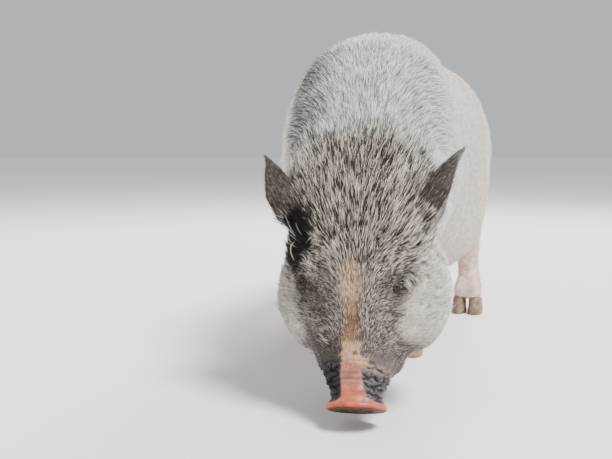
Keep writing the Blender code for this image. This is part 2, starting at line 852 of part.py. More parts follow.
def room_before(point, aim, cut):
    """How far a lock may run from a point before it reaches a cut across the body."""
    place, normal = Vector(cut[0]), Vector(cut[1]).normalized()
    return (place - point).dot(normal) / aim.dot(normal) - LOCK_MARGIN


def planted(tree, plan, others):
    """A lock carried onto the path, made shorter until it is clear of the other nodes, or left out."""
    start, aim, length, width = plan
    while length > SHORTEST_LOCK:
        piece = posed(laid_lock(tree, start, aim, length, width))
        own = tree_of(piece)
        if not any(own.overlap(other) for other in others):
            return piece
        remove(piece)
        length *= 0.85
    return None


def head_plans(tree, rng):
    """Rows from the brow to the nape, lying back and fanning out: start, aim, length, width."""
    plans = []
    out = head_direction(0, 0, 1)
    for row, (along, half_row) in enumerate(
        ((0.134, 0.034), (0.156, 0.044), (0.178, 0.048), (0.198, 0.046))
    ):
        count = 5 + row % 2
        for i in range(count):
            share = 2 * (i + 0.5) / count - 1
            start = head_point(
                half_row * share + rng.uniform(-0.002, 0.002), along + rng.uniform(-0.003, 0.003), 0
            )
            start = tree.ray_cast(start + out * 0.12, -out)[0]
            aim = head_direction(0.45 * share, 1, -0.15)
            length = min(LOCK_LENGTH * rng.uniform(0.85, 1.1), room_before(start, aim, CUTS["head"]))
            plans.append((start, aim, length, LOCK_WIDTH * rng.uniform(0.8, 1.05)))
    return plans


def trunk_frame(y):
    """The middle and the upward direction of the trunk's section at a distance along it."""
    stations = np.array(TRUNK_STATIONS)
    z = float(np.interp(y, stations[:, 0], stations[:, 1]))
    climb = float(np.interp(y, stations[:, 0], stations[:, 2]))
    return Vector((0, y, z)), tilted(climb)[1]


def trunk_plans(tree, low_cut, high_cut, rng):
    """Rows over the back from one cut to the next, with tips short of the further cut."""
    plans = []
    for row in range(1, int(0.66 / LOCK_ROW)):
        y = row * LOCK_ROW
        spread, count = (float(np.interp(y, LOCK_PLACES, table)) for table in (LOCK_SPREADS, LOCK_COUNTS))
        count = round(count) + row % 2
        for i in range(count):
            share = 2 * (i + 0.5) / count - 1
            turn = spread * share + rng.uniform(-0.03, 0.03)
            middle, up = trunk_frame(y + rng.uniform(-0.003, 0.003))
            start = tree.ray_cast(middle, up * math.cos(turn) + Vector((math.sin(turn), 0, 0)))[0]
            aim = Vector((0.16 * share + rng.uniform(-0.12, 0.12), 1, 0))
            if room_before(start, aim, low_cut) > -2 * LOCK_MARGIN:
                continue
            length = min(LOCK_LENGTH * rng.uniform(0.85, 1.1), room_before(start, aim, high_cut))
            plans.append((start, aim, length, LOCK_WIDTH * rng.uniform(0.8, 1.05)))
    return plans


def brush():
    """The long hairs round the tail's end, rooted inside it and hanging past it.

    Every other lock stands a little further out, so that neighbours cross instead of touching.
    """
    locks = []
    for i in range(BRUSH_LOCKS):
        angle = 2 * math.pi * (i + 0.37) / BRUSH_LOCKS
        out = Vector((math.cos(angle), math.sin(angle), 0))
        fall = 0.036 + 0.007 * (i % 2)
        stagger = 0.0006 * (i % 2)
        path = [
            TAIL_END + out * (away + stagger) - Vector((0, 0, fall * share))
            for away, share in ((0.0020, -0.30), (0.0046, 0.15), (0.0068, 0.50), (0.0074, 0.80), (0.0066, 1.0))
        ]
        locks.append(posed(lock(path, [out] * len(path), 0.0080, 0.0026)))
    return locks


def fused(node, pieces):
    """Joins many closed pieces to a node in one union, and keeps its one closed surface."""
    if not pieces:
        return node
    group = bpy.data.collections.new(node.name + "_pieces")
    for piece in pieces:
        group.objects.link(piece)
    modifier = node.modifiers.new("union", "BOOLEAN")
    modifier.operation = "UNION"
    modifier.operand_type = "COLLECTION"
    modifier.collection = group
    modifier.solver = "EXACT"
    bake(node)
    for piece in list(group.objects):
        remove(piece)
    bpy.data.collections.remove(group)
    return largest_shell(node)


# Parting and finish


def leg_cutter(name, centre, radii, top, tilt):
    """An oval drum round a leg, closed by a slanting top."""
    rings = []
    for low in (True, False):
        ring = []
        for i in range(DRUM_FACETS):
            angle = 2 * math.pi * i / DRUM_FACETS
            x, y = radii[0] * math.cos(angle), radii[1] * math.sin(angle)
            ring.append(Vector((centre[0] + x, centre[1] + y, -0.02 if low else top + tilt * x)))
        rings.append(ring)
    return loft(name, rings)


def cut_leg(trunk, name, centre, radii, top, tilt):
    """Takes a leg out of the trunk, and leaves the gap on the trunk's side."""
    drum = posed(leg_cutter("drum", centre, radii, top, tilt))
    leg = copy_of(trunk, name)
    boolean(leg, drum, "INTERSECT", keep_other=True)
    largest_shell(leg)
    boolean(trunk, grown(drum, GAP), "DIFFERENCE")
    remove(drum)
    largest_shell(trunk)
    return leg


def box_cutter(name, low, high):
    """A block in the head's own directions: across, along, above."""
    bm = bmesh.new()
    bmesh.ops.create_cube(bm, size=1)
    middle = [(a + b) / 2 for a, b in zip(low, high)]
    for vert in bm.verts:
        place = [m + v * (b - a) for m, v, a, b in zip(middle, vert.co, low, high)]
        vert.co = head_point(*place)
    return mesh_from(name, bm)


def painted(node, colour, roughness):
    """Gives a node its own plain material, and smooth shading up to its hard edges."""
    paint = bpy.data.materials.new(node.name + "_surface")
    paint.use_nodes = True
    shader = paint.node_tree.nodes["Principled BSDF"]
    shader.inputs["Base Color"].default_value = (*colour, 1)
    shader.inputs["Roughness"].default_value = roughness
    shader.inputs["Metallic"].default_value = 0
    node.data.materials.clear()
    node.data.materials.append(paint)
    node.data.polygons.foreach_set("use_smooth", [True] * len(node.data.polygons))
    node.data.set_sharp_from_angle(angle=CREASE)


def surface_of(name):
    """The colour and roughness of a node, from the first word of its name that is listed."""
    for word, colour, roughness in SURFACES:
        if name.startswith(word):
            return colour, roughness


def build():
    clear_scene()
    whole = flesh()
    skin = tree_of(whole)
    eyes = {
        side: eye_on_skin(whole, side) - eye_direction(side) * (EYE_RADIUS + EYE_DEPTH)
        for side in SIDES.values()
    }
    posed(thinned(whole, FLESH_TRIANGLES))
    nodes = {}

    # The muzzle's tip makes way for the nose disc
    half(whole, *posed_plane(head_point(0, SNOUT_DEPTH + HALF_GAP, 0), head_direction(0, -1, 0)))
    largest_shell(whole)

    # Legs first, then the cuts across the body
    legs = {}
    for label, side in SIDES.items():
        x, y = FORE_FOOT
        legs["foreleg_" + label] = cut_leg(
            whole, "foreleg_" + label, (side * 0.050, y - 0.008), (0.034, 0.043), 0.132, side * 0.35,
        )
        x, y = HIND_FOOT
        legs["hindleg_" + label] = cut_leg(
            whole, "hindleg_" + label, (side * 0.084, y + 0.006), (0.038, 0.052), 0.150, side * 0.35,
        )
    body = {}
    for name, cut in CUTS.items():
        body[name], whole = parted(whole, *cut, name, "rump")
    whole.name = "rump"
    body["rump"] = whole
    head, neck, rump = body["head"], body["neck"], body["rump"]

    jaw = copy_of(head, "lower_jaw")
    block = posed(box_cutter("block", *JAW_BLOCK))
    boolean(jaw, block, "INTERSECT", keep_other=True)
    largest_shell(jaw)
    boolean(head, grown(block, GAP), "DIFFERENCE")
    remove(block)
    largest_shell(head)

    for label, side in SIDES.items():
        nodes["eye_" + label] = opened_eye(head, eyes[side], side)
    largest_shell(head)
    for label, side in SIDES.items():
        leaf = posed(ear("ear_" + label, side))
        for base in (head, neck):
            boolean(leaf, grown(base, GAP), "DIFFERENCE")
            largest_shell(leaf)
        nodes[leaf.name] = leaf

    for label, side in SIDES.items():
        for pair, foot in (("foreleg_", FORE_FOOT), ("hindleg_", HIND_FOOT)):
            for claw in shod(legs[pair + label], foot, side, pair + label):
                nodes[claw.name] = claw
    tail = posed(tail_core())
    boolean(tail, grown(rump, GAP), "DIFFERENCE")
    fused(largest_shell(tail), brush())

    nodes.update(legs)
    nodes.update(body)
    for node in (jaw, tail, posed(snout())):
        nodes[node.name] = node

    # Bristles last, each clear of every other node
    rng = random.Random(7)
    solid = {name: grown_tree(node) for name, node in nodes.items()}
    plans = {"head": head_plans(skin, rng)}
    cuts = list(CUTS.values()) + [COAT_END]
    for name, low, high in zip(list(body)[1:], cuts, cuts[1:]):
        plans[name] = trunk_plans(skin, low, high, rng)
    for name, laid in plans.items():
        others = [tree for other, tree in solid.items() if other != name]
        locks = [planted(skin, plan, others) for plan in laid]
        fused(nodes[name], [piece for piece in locks if piece])

    every = np.concatenate([points_of(node) for node in nodes.values()])
    low, high = every.min(axis=0), every.max(axis=0)
    shift = np.array((-(low[0] + high[0]) / 2, -(low[1] + high[1]) / 2, 0))
    pig = bpy.data.collections.new("pot_bellied_pig")
    bpy.context.scene.collection.children.link(pig)
    for name, node in nodes.items():
        set_points(node, points_of(node) + shift)
        node.name = name
        bpy.context.scene.collection.objects.unlink(node)
        pig.objects.link(node)
        painted(node, *surface_of(name))
    return nodes


if __name__ == "__main__":
    build()
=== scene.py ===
"""The look of a life-size pot-bellied pig: one folded skin, a bristly coat of solid tufts, eyes and claws.

The body is shaped straight, facing -Y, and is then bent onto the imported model's own path. Lengths are
metres, and tables of whole numbers are tenths of a millimetre.
"""

import math
from contextlib import contextmanager

import bmesh
import bpy
import numpy as np
from mathutils import Matrix, Vector
from mathutils.bvhtree import BVHTree
from mathutils.kdtree import KDTree


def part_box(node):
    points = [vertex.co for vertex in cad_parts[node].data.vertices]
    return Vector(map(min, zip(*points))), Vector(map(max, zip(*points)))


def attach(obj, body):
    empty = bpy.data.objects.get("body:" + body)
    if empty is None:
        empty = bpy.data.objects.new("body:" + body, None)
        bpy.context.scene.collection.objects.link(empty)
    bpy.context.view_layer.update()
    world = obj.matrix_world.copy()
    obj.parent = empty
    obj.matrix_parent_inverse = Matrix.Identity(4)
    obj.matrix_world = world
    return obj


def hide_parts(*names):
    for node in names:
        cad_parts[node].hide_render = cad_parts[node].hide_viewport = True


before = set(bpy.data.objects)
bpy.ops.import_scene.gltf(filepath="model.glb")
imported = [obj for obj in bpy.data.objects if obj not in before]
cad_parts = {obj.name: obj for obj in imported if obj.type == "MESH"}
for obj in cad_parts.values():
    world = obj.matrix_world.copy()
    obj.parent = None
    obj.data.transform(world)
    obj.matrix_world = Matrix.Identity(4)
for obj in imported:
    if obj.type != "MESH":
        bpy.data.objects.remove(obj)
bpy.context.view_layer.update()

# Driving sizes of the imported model
WITHERS_TOP = 0.414
BELLY_LOW = 0.074
BODY_END = 0.700
NOSE_HEIGHT = 0.0185
HEAD_PITCH = math.radians(64)
SNOUT_HALF_WIDTH = 0.0292
SNOUT_HALF_HEIGHT = 0.0245
NOSTRIL_ACROSS = 0.0112
NOSTRIL_HALF_SIZE = (0.0046, 0.0060)
NOSTRIL_DEPTH = 0.0100
NOSTRIL_RIM = 0.0007
EYE_RADIUS = 0.0105
EYE_ACROSS = 0.0425
EYE_ALONG = 0.1155
EYE_ABOVE = 0.0265
EYE_DEPTH = 0.0014
EYE_SLIT = 0.0012
EYE_SLIT_RISE = -0.0010
EYE_SLIT_HALF_LENGTH = 0.0092
EAR_LENGTH = 0.086
EAR_HALF_WIDTH = 0.039
EAR_THICKNESS = 0.0030
EAR_BOW = 0.010
EAR_REACH = 0.12
EAR_ROOT = (0.0490, 0.194, 0.027)
EAR_RISES = (-0.30, 0.0, 0.3, 0.6, 0.85, 1.0)
EAR_WIDTHS = (0.80, 1.12, 1.10, 0.70, 0.28, 0.05)
EAR_CURLS = (150, 116, 94, 80, 62, 50)
FEET = {"foreleg": (0.040, 0.292), "hindleg": (0.086, 0.592)}
CORONET = 0.024
CORONET_SLANT = Vector((0, 0.28, 1)).normalized()
HOOF_FORWARD = 0.006
HOOF_EDGE = math.radians(50)
HOOF_FACETS = 40
TOE_HALF_GAP = 0.0125
VOXEL = 0.0034
RELAX_PULL = 0.6
SIDES = {"left": 1, "right": -1}

# The bend of the body: the distance along it, the heading and the lean in degrees
PATH = (
    (-0.10, 13.0, 2.7), (0.08, 13.0, 2.7), (0.14, 5.5, 1.6),
    (0.20, 4.0, 0.0), (0.39, 20.0, 0.0), (0.90, 21.5, 0.0),
)
PATH_AXIS_HEIGHT = 0.10

# Sections of the trunk: y, z, climb in degrees, half width, half height, and how far the width sags
TRUNK_STATIONS = (
    (0.070, 0.165, 42, 0.064, 0.060, 0.00),
    (0.105, 0.190, 40, 0.080, 0.082, 0.00),
    (0.150, 0.214, 33, 0.090, 0.093, 0.02),
    (0.195, 0.238, 22, 0.101, 0.114, 0.04),
    (0.250, 0.2495, 11, 0.109, 0.1445, 0.05),
    (0.320, (WITHERS_TOP + 0.092) / 2, 3, 0.116, (WITHERS_TOP - 0.092) / 2, 0.08),
    (0.400, 0.2395, 0, 0.124, 0.1575, 0.12),
    (0.470, (0.3920 + BELLY_LOW) / 2, 0, 0.128, (0.3920 - BELLY_LOW) / 2, 0.13),
    (0.535, 0.249, -2, 0.123, 0.153, 0.09),
    (0.590, 0.270, -9, 0.112, 0.131, 0.03),
    (0.640, 0.274, -20, 0.089, 0.102, 0.00),
    (0.676, 0.262, -28, 0.056, 0.056, 0.00),
    (BODY_END - 0.008, 0.258, -30, 0.020, 0.020, 0.00),
)

# Sections of the head from behind the nose disc to the nape: along, half width, above, below
HEAD_STATIONS = (
    (60, 235, 215, 180), (160, 270, 222, 200), (300, 322, 240, 270), (480, 365, 262, 350),
    (680, 400, 272, 420), (880, 465, 312, 500), (1080, 570, 410, 580), (1300, 700, 530, 660),
    (1550, 750, 630, 710), (1820, 680, 690, 700), (2070, 575, 680, 640), (2320, 450, 560, 500),
)
# Round masses of the head: centre across, along and above, then half sizes; of a pair, then of one
HEAD_PAIRS = {
    "jowl": (450, 1220, -250, 440, 620, 560), "lip": (290, 540, -170, 155, 205, 160),
    "brow": (400, 1290, 300, 210, 220, 150), "cheek": (360, 830, 0, 220, 300, 240),
    "ear_root": (520, 1940, 300, 200, 280, 240),
}
HEAD_SINGLES = {
    "chin": (0, 440, -310, 220, 270, 160), "jaw": (0, 880, -460, 380, 520, 240),
    "throat": (0, 1650, -620, 520, 600, 360),
}
# Sections down the legs and the tail: x, y, z, half width, half depth
LEG_STATIONS = {
    "foreleg": (
        (580, 2620, 2500, 380, 620), (620, 2680, 2000, 360, 540), (560, 2820, 1550, 300, 380),
        (490, 2900, 1200, 240, 270), (440, 2870, 930, 215, 225), (420, 2880, 780, 195, 200),
        (410, 2910, 600, 185, 180), (400, 2900, 400, 205, 185), (400, 2860, 240, 200, 170),
    ),
    "hindleg": (
        (660, 5680, 2620, 500, 780), (760, 5740, 2100, 450, 680), (810, 5840, 1650, 340, 460),
        (820, 6020, 1300, 250, 310), (820, 6130, 1040, 205, 265), (820, 6060, 820, 185, 205),
        (860, 6000, 600, 180, 180), (860, 5930, 400, 200, 185), (860, 5870, 240, 195, 170),
    ),
}
TAIL_STATIONS = (
    (0, 6680, 3520, 150, 150), (0, 6900, 3400, 125, 125), (20, 7040, 3180, 105, 105),
    (60, 7110, 2860, 86, 86),
    (110, 7130, 2520, 70, 70), (140, 7120, 2240, 54, 54), (150, 7090, 2080, 36, 36),
)
# Round masses of the legs by x, y, z and half sizes: shoulder blade, then hock and ham
LEG_MASSES = {
    "foreleg": ((740, 2620, 2620, 340, 580, 880),),
    "hindleg": ((820, 6290, 1120, 120, 120, 180), (660, 6000, 2620, 520, 780, 940)),
}
# Rings of the nose disc, back to front: along, and the share of its size
SNOUT_PROFILE = (
    (0.0140, 0.80), (0.0110, 0.815), (0.0085, 0.85), (0.0062, 0.905), (0.0042, 0.965), (0.0026, 1.0),
    (0.0012, 1.01), (0.0002, 0.985), (-0.0007, 0.92), (-0.0012, 0.85), (-0.0006, 0.60),
)
# Rings of a hoof from the sole up: z, the share of its size, and the shift back
HOOF_PROFILE = (
    (0, 0.95, 0), (0.0009, 0.99, 0), (0.0025, 1.01, 0), (0.004, 1.02, 0.0002), (0.008, 0.985, 0.0008),
    (0.014, 0.945, 0.0018), (0.020, 0.905, 0.0030), (0.026, 0.865, 0.0042), (0.034, 0.82, 0.0058),
)
# Sections of a dew claw: its distance behind the foot, z, half width, half depth
DEWCLAW_STATIONS = ((130, 500, 60, 60), (195, 400, 64, 60), (245, 300, 50, 44), (262, 235, 22, 20))

# Folds of the face: a path across, along and above, a radius, and how far it swells (or sinks, below 0), in
# tenths of a millimetre
FACE_FOLDS = (
    (((440, 1020, 220), (450, 1220, 280)), 190, -48),
    (((340, 1040, 400), (440, 1280, 440), (580, 1400, 320)), 110, 48),
    (((460, 920, 120), (580, 1060, 100), (640, 1240, 140)), 100, 36),
    (((300, 820, 300), (420, 880, 180), (520, 940, 0)), 80, -30),
    (((260, 660, 300), (380, 720, 180), (460, 800, 40)), 80, 22),
    (((240, 160, 100), (280, 200, -40)), 60, -20),
    (((60, 210, 240), (200, 230, 200), (280, 280, 40)), 50, -20),
    (((0, 360, 270), (180, 360, 240)), 50, -16),
    (((260, 160, -130), (340, 360, -160), (440, 660, -180)), 55, -38),
)
BROW_DIP = ((((0, 940, 400), (0, 1240, 550)), 220, -24),)
# Creases of the nose, lips, cheeks and brows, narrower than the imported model's voxels, in the same units
FINE_FOLDS = (
    # Across the bare top of the nose
    (((0, 245, 245), (100, 240, 240), (190, 225, 200)), 19, -11),
    (((0, 305, 255), (120, 300, 245)), 18, -6),
    (((0, 415, 265), (100, 410, 260), (190, 385, 230)), 22, -11),
    (((0, 130, 235), (120, 128, 215)), 16, -4),
    # The dark wrinkled flank of the nose
    (((190, 190, 190), (270, 200, 100), (290, 200, -40)), 22, -14),
    (((200, 250, 200), (280, 270, 100), (310, 280, -20)), 24, -13),
    (((200, 330, 210), (280, 350, 130), (330, 370, 0)), 24, -13),
    (((230, 150, 160), (250, 260, 160), (290, 360, 110)), 20, -10),
    (((280, 150, 40), (310, 280, 40)), 20, -10),
    (((210, 290, 210), (300, 310, 60)), 24, 9),
    (((200, 220, 200), (290, 235, 40)), 22, 8),
    # The line of the mouth, with a lip on each side of it
    (((240, 150, -150), (340, 330, -165), (430, 560, -180), (500, 720, -120)), 22, -34),
    (((260, 200, -100), (360, 340, -115), (440, 540, -130)), 36, 13),
    (((260, 240, -210), (360, 380, -220), (430, 560, -230)), 36, 10),
    # The step from the muzzle's edge to the corner of the lips
    (((330, 300, -10), (355, 440, -10), (380, 580, 0)), 26, -24),
    # Folds from the muzzle to the cheek
    (((260, 560, 260), (360, 600, 140), (430, 660, 0)), 45, -14),
    (((300, 720, 280), (410, 780, 140), (480, 860, 0)), 45, -13),
    (((240, 480, 250), (340, 500, 140), (410, 550, -40)), 36, 10),
    # Round the eye: under it, in front of it, and over the brow
    (((340, 900, 280), (460, 960, 200), (560, 1080, 160), (620, 1220, 180)), 34, -16),
    (((310, 840, 300), (450, 880, 180), (580, 990, 110), (670, 1150, 100)), 38, -14),
    (((300, 960, 360), (370, 1120, 410), (470, 1270, 410)), 34, -14),
    (((240, 980, 390), (310, 1160, 460), (420, 1330, 480)), 40, -12),
    (((470, 1330, 400), (560, 1360, 310), (630, 1330, 220)), 36, -14),
    (((450, 1400, 460), (570, 1430, 370), (670, 1390, 230)), 44, -12),
    # Behind the jowl and under the ear
    (((700, 1500, 200), (780, 1450, 0), (760, 1400, -300)), 70, -16),
    (((600, 1780, 260), (740, 1720, 40), (750, 1650, -300)), 70, -18),
)

# How square the sections are: 2 for an ellipse
TRUNK_SQUARENESS = 2.4
HEAD_SQUARENESS = 2.35
SNOUT_SQUARENESS = 2.1

# The finer skin: voxel on the body, how much finer it gets by the distance from the nose, what share of the
# trunk's triangles stays, and how deep the skin lies under the coat
SKIN_VOXEL = 0.0036
SKIN_DETAIL = ((0, 3.5), (0.155, 3.5), (0.25, 2.3), (0.36, 1.0), (1.5, 1.0))
SKIN_SHARE = 0.62
COAT_DEPTH = 0.0026
# The wrinkled leather of the nose: how deep its creases are, and how far it swells between them
CREASE_DEPTH = 0.0030
LEATHER_SWELL = 0.0008

# The edges of the stripe down the face, to the pig's right and to its left: places along it, and how far out
BAND_RIGHT = (
    (45, 65, 100, 155, 250, 410, 500, 620, 850, 1100, 1360),
    (225, 135, 105, 100, 112, 106, 104, 102, 92, 125, 100),
)
BAND_LEFT = (
    (45, 65, 100, 155, 250, 340, 380, 430, 470, 620, 850, 1100, 1360),
    (287, 164, 112, 98, 72, 64, 130, 130, 68, 48, 24, 68, 70),
)

# Linear colours: skin, light bristle, dark bristle, and the share of dark bristles
FLANK = ((0.84, 0.77, 0.69), (0.95, 0.93, 0.89), (0.84, 0.80, 0.73), 0.12)
SADDLE = ((0.36, 0.385, 0.40), (0.91, 0.935, 0.94), (0.38, 0.41, 0.43), 0.20)
# Painted shade: the saddle's skin and bristles darker on the pig's right side, which is turned from the light
SADDLE_SHADED_SIDE = ((0.085, 0.088, 0.086), (0.52, 0.53, 0.50), (0.10, 0.104, 0.099), 0.54)
POLL = ((0.048, 0.035, 0.028), (0.81, 0.76, 0.68), (0.052, 0.038, 0.031), 0.53)
POLL_DARK = ((0.042, 0.031, 0.025), (0.68, 0.63, 0.56), (0.046, 0.034, 0.027), 0.635)
FACE = ((0.070, 0.056, 0.049), (0.74, 0.69, 0.62), (0.058, 0.045, 0.040), 0.50)
JOWL = ((0.62, 0.57, 0.48), (0.95, 0.935, 0.875), (0.30, 0.27, 0.23), 0.22)
BLAZE = ((0.22, 0.110, 0.055), (0.50, 0.31, 0.165), (0.09, 0.053, 0.035), 0.50)
BLAZE_HIGH = ((0.54, 0.31, 0.19), (0.93, 0.77, 0.59), (0.16, 0.105, 0.08), 0.32)
CREAM = ((0.54, 0.350, 0.205), (0.74, 0.565, 0.37), (0.30, 0.19, 0.12), 0.24)
NOSE = ((0.385, 0.150, 0.103), (0.78, 0.60, 0.50), (0.45, 0.24, 0.18), 0.1)
NOSE_HAIR = ((0.80, 0.62, 0.52), (0.60, 0.30, 0.22), 0.1)
RIM = ((0.52, 0.142, 0.080), *NOSE_HAIR)
LOW_RIM = ((0.56, 0.084, 0.014), *NOSE_HAIR)
# A painted highlight on the pink of the nose
NOSE_HIGHLIGHT = ((0.66, 0.42, 0.36), *NOSE_HAIR)
# A painted shade for the front face of the nose disc and its nostrils
SHADED_DISC_FRONT = ((0.060, 0.022, 0.016), *NOSE_HAIR)
PATCH = ((0.007, 0.006, 0.006), (0.012, 0.010, 0.010), (0.004, 0.0035, 0.0035), 0.5)
FURROW = ((0.017, 0.013, 0.012), (0.26, 0.225, 0.20), (0.026, 0.021, 0.019), 0.72)
LEATHER = ((0.025, 0.0235, 0.0245), (0.34, 0.31, 0.29), (0.042, 0.036, 0.035), 0.5)
SOCKET = ((0.020, 0.015, 0.015), (0.28, 0.25, 0.23), (0.020, 0.016, 0.016), 0.7)
LID = ((0.105, 0.082, 0.072), (0.34, 0.30, 0.27), (0.06, 0.047, 0.042), 0.6)
# A painted shade for the right half of the muzzle, the side turned from the light
MUZZLE_SHADED_SIDE = ((0.034, 0.027, 0.022), (0.26, 0.225, 0.19), (0.030, 0.023, 0.019), 0.62)
MUZZLE = ((0.122, 0.098, 0.086), (0.36, 0.33, 0.30), (0.12, 0.10, 0.09), 0.5)
LEG = ((0.80, 0.60, 0.54), (0.94, 0.90, 0.85), (0.82, 0.70, 0.62), 0.2)
EAR = ((0.032, 0.024, 0.020), (0.31, 0.265, 0.215), (0.034, 0.025, 0.021), 0.68)
EAR_INNER = ((0.215, 0.207, 0.212), (0.46, 0.44, 0.42), (0.12, 0.11, 0.11), 0.40)
# The lips' own dark skin, darkened further as painted shade where they lie under the face
LIP = ((0.074, 0.055, 0.055), (0.45, 0.40, 0.39), (0.09, 0.07, 0.07), 0.4)

FACE_END = 0.128
COAT_LOW = 0.026
# Corners of a tuft's section, and how far its root is sunk, by its length
TUFT_CORNERS = ((-1, -0.40), (1, -0.40), (0, 0.75))
TUFT_ROOT = 0.035
# Locks: their size on the face and behind it, how far the tips are drawn together, and the share of bristles
# that go with their lock in colour
LOCK_SIZES = (0.0016, 0.0020)
LOCK_PULL = 0.70
LOCK_COLOUR = 0.50
# What the bristles differ by: shares of length, width and rise, the turn of their lie, how far each strays
# from its lock, how far away it takes its marking from, and its tone
SPREADS = ((0.68, 1.22), (0.75, 1.25), (0.45, 1.45))
LIE_SPREAD = 0.10
STRAY = 0.035
MARK_SPREAD = 0.0024
TONE_SPREAD = 0.15

# Lashes: rows by height over the slit, count and length, their width, and the share of light ones
LASH_ROWS = {
    "left": ((0.0024, 20, 0.0120), (0.0056, 19, 0.0150), (0.0090, 17, 0.0165)),
    "right": ((0.0020, 14, 0.0060), (0.0050, 12, 0.0080)),
}
LASH_WIDTHS = {"left": 0.00052, "right": 0.00034}
LASH_LIGHT_SHARE = {"left": 0.62, "right": 0.06}
LASH_LIGHT = (0.90, 0.87, 0.80)
LASH_DARK = (0.12, 0.085, 0.070)
# Whiskers: the middle of a group across, along and above, its spread, the count and the length
WHISKERS = (
    (0.036, 0.125, 0.046, 0.008, 10, 0.026), (0.058, 0.150, 0.040, 0.012, 10, 0.030),
    (0.070, 0.105, 0.000, 0.014, 12, 0.022), (0.040, 0.050, -0.012, 0.008, 12, 0.016),
    (0.024, 0.045, -0.044, 0.010, 14, 0.020), (0.030, 0.060, 0.018, 0.009, 8, 0.012),
    (0.052, 0.200, 0.050, 0.012, 10, 0.030),
)
WHISKER_WIDTH = 0.00036
# The one long curled hair by the black patch
CURL = (
    (-565, 1500, 520), (-582, 1470, 545), (-592, 1430, 550), (-588, 1385, 540),
    (-572, 1340, 525), (-548, 1300, 510),
)
CURL_WIDTH = 0.0008
CURL_TONE = (0.84, 0.62, 0.42)

FLESH_NODES = (
    "head", "neck", "shoulders", "barrel", "rump", "lower_jaw", "tail", "snout",
    "foreleg_left", "foreleg_right", "hindleg_left", "hindleg_right", "ear_left", "ear_right",
)

CAMERA_PLACE = (-0.1295, -1.03, 0.257)
CAMERA_TILT = math.radians(84.4)
SKY = (0.93, 0.95, 1.0)
SKY_STRENGTH = 0.64
# Lights: place, size of the disk or 0 for the sun, power (for the sun, on each square metre), and colour
LIGHTS = {
    "key": ((1.1, -1.0, 2.5), 0, 6.2, (1.0, 0.985, 0.955)),
    "fill": ((-1.9, -1.2, 1.6), 1.8, 13, (1.0, 0.97, 0.93)),
    "rim": ((0.9, 2.0, 2.1), 1.2, 60, (0.97, 0.985, 1.0)),
}
LIGHTS_AIM = Vector((0, 0, 0.2))
SUN_ANGLE = math.radians(20)
# The floor darkens to the tone of the backdrop with distance, so that no edge shows: one over the metres
FLOOR_HALF_SIZE = 60
FLOOR_NEAR = 0.62
FLOOR_FAR = 0.05
FLOOR_FAR_TONE = (0.29, 0.29, 0.30)


# Camera, floor and light


def linked(name, data):
    obj = bpy.data.objects.new(name, data)
    bpy.context.scene.collection.objects.link(obj)
    return obj


def camera():
    data = bpy.data.cameras.new("camera")
    data.lens = 45
    data.sensor_width = 36
    obj = linked("camera", data)
    obj.location = CAMERA_PLACE
    obj.rotation_euler = (CAMERA_TILT, 0, 0)
    bpy.context.scene.camera = obj


def lamp(name, place, size, power, colour):
    data = bpy.data.lights.new(name, "AREA" if size else "SUN")
    if size:
        data.shape = "DISK"
        data.size = size
    else:
        data.angle = SUN_ANGLE
    data.energy = power
    data.color = colour
    obj = linked(name, data)
    obj.location = place
    obj.rotation_euler = (LIGHTS_AIM - Vector(place)).to_track_quat("-Z", "Y").to_euler()


def studio():
    world = bpy.data.worlds.new("studio")
    bpy.context.scene.world = world
    world.use_nodes = True
    back = world.node_tree.nodes["Background"]
    back.inputs["Color"].default_value = (*SKY, 1)
    back.inputs["Strength"].default_value = SKY_STRENGTH
    for name, row in LIGHTS.items():
        lamp(name, *row)
    bm = bmesh.new()
    bmesh.ops.create_grid(bm, x_segments=8, y_segments=8, size=FLOOR_HALF_SIZE)
    mesh = bpy.data.meshes.new("floor")
    bm.to_mesh(mesh)
    bm.free()
    paint = Paint("floor_paint")
    noise = paint.node("TexNoise", "Fac", {"Scale": 3.0, "Detail": 2.0})
    near_tone = paint.ramp(noise, (0.3, (0.86, 0.855, 0.84)), (0.7, (0.89, 0.885, 0.87)))
    away = paint.node("VectorMath", "Value", {0: paint.where}, operation="LENGTH")
    closeness = paint.math("DIVIDE", 1.0, away)
    fade = paint.ramp(closeness, (FLOOR_FAR, (0, 0, 0)), (FLOOR_NEAR, (1, 1, 1)), kind="EASE")
    paint.finish({"Base Color": paint.mix(fade, FLOOR_FAR_TONE, near_tone, "MIX"), "Roughness": 0.9})
    mesh.materials.append(paint.material)
    linked("floor", mesh)


# Materials


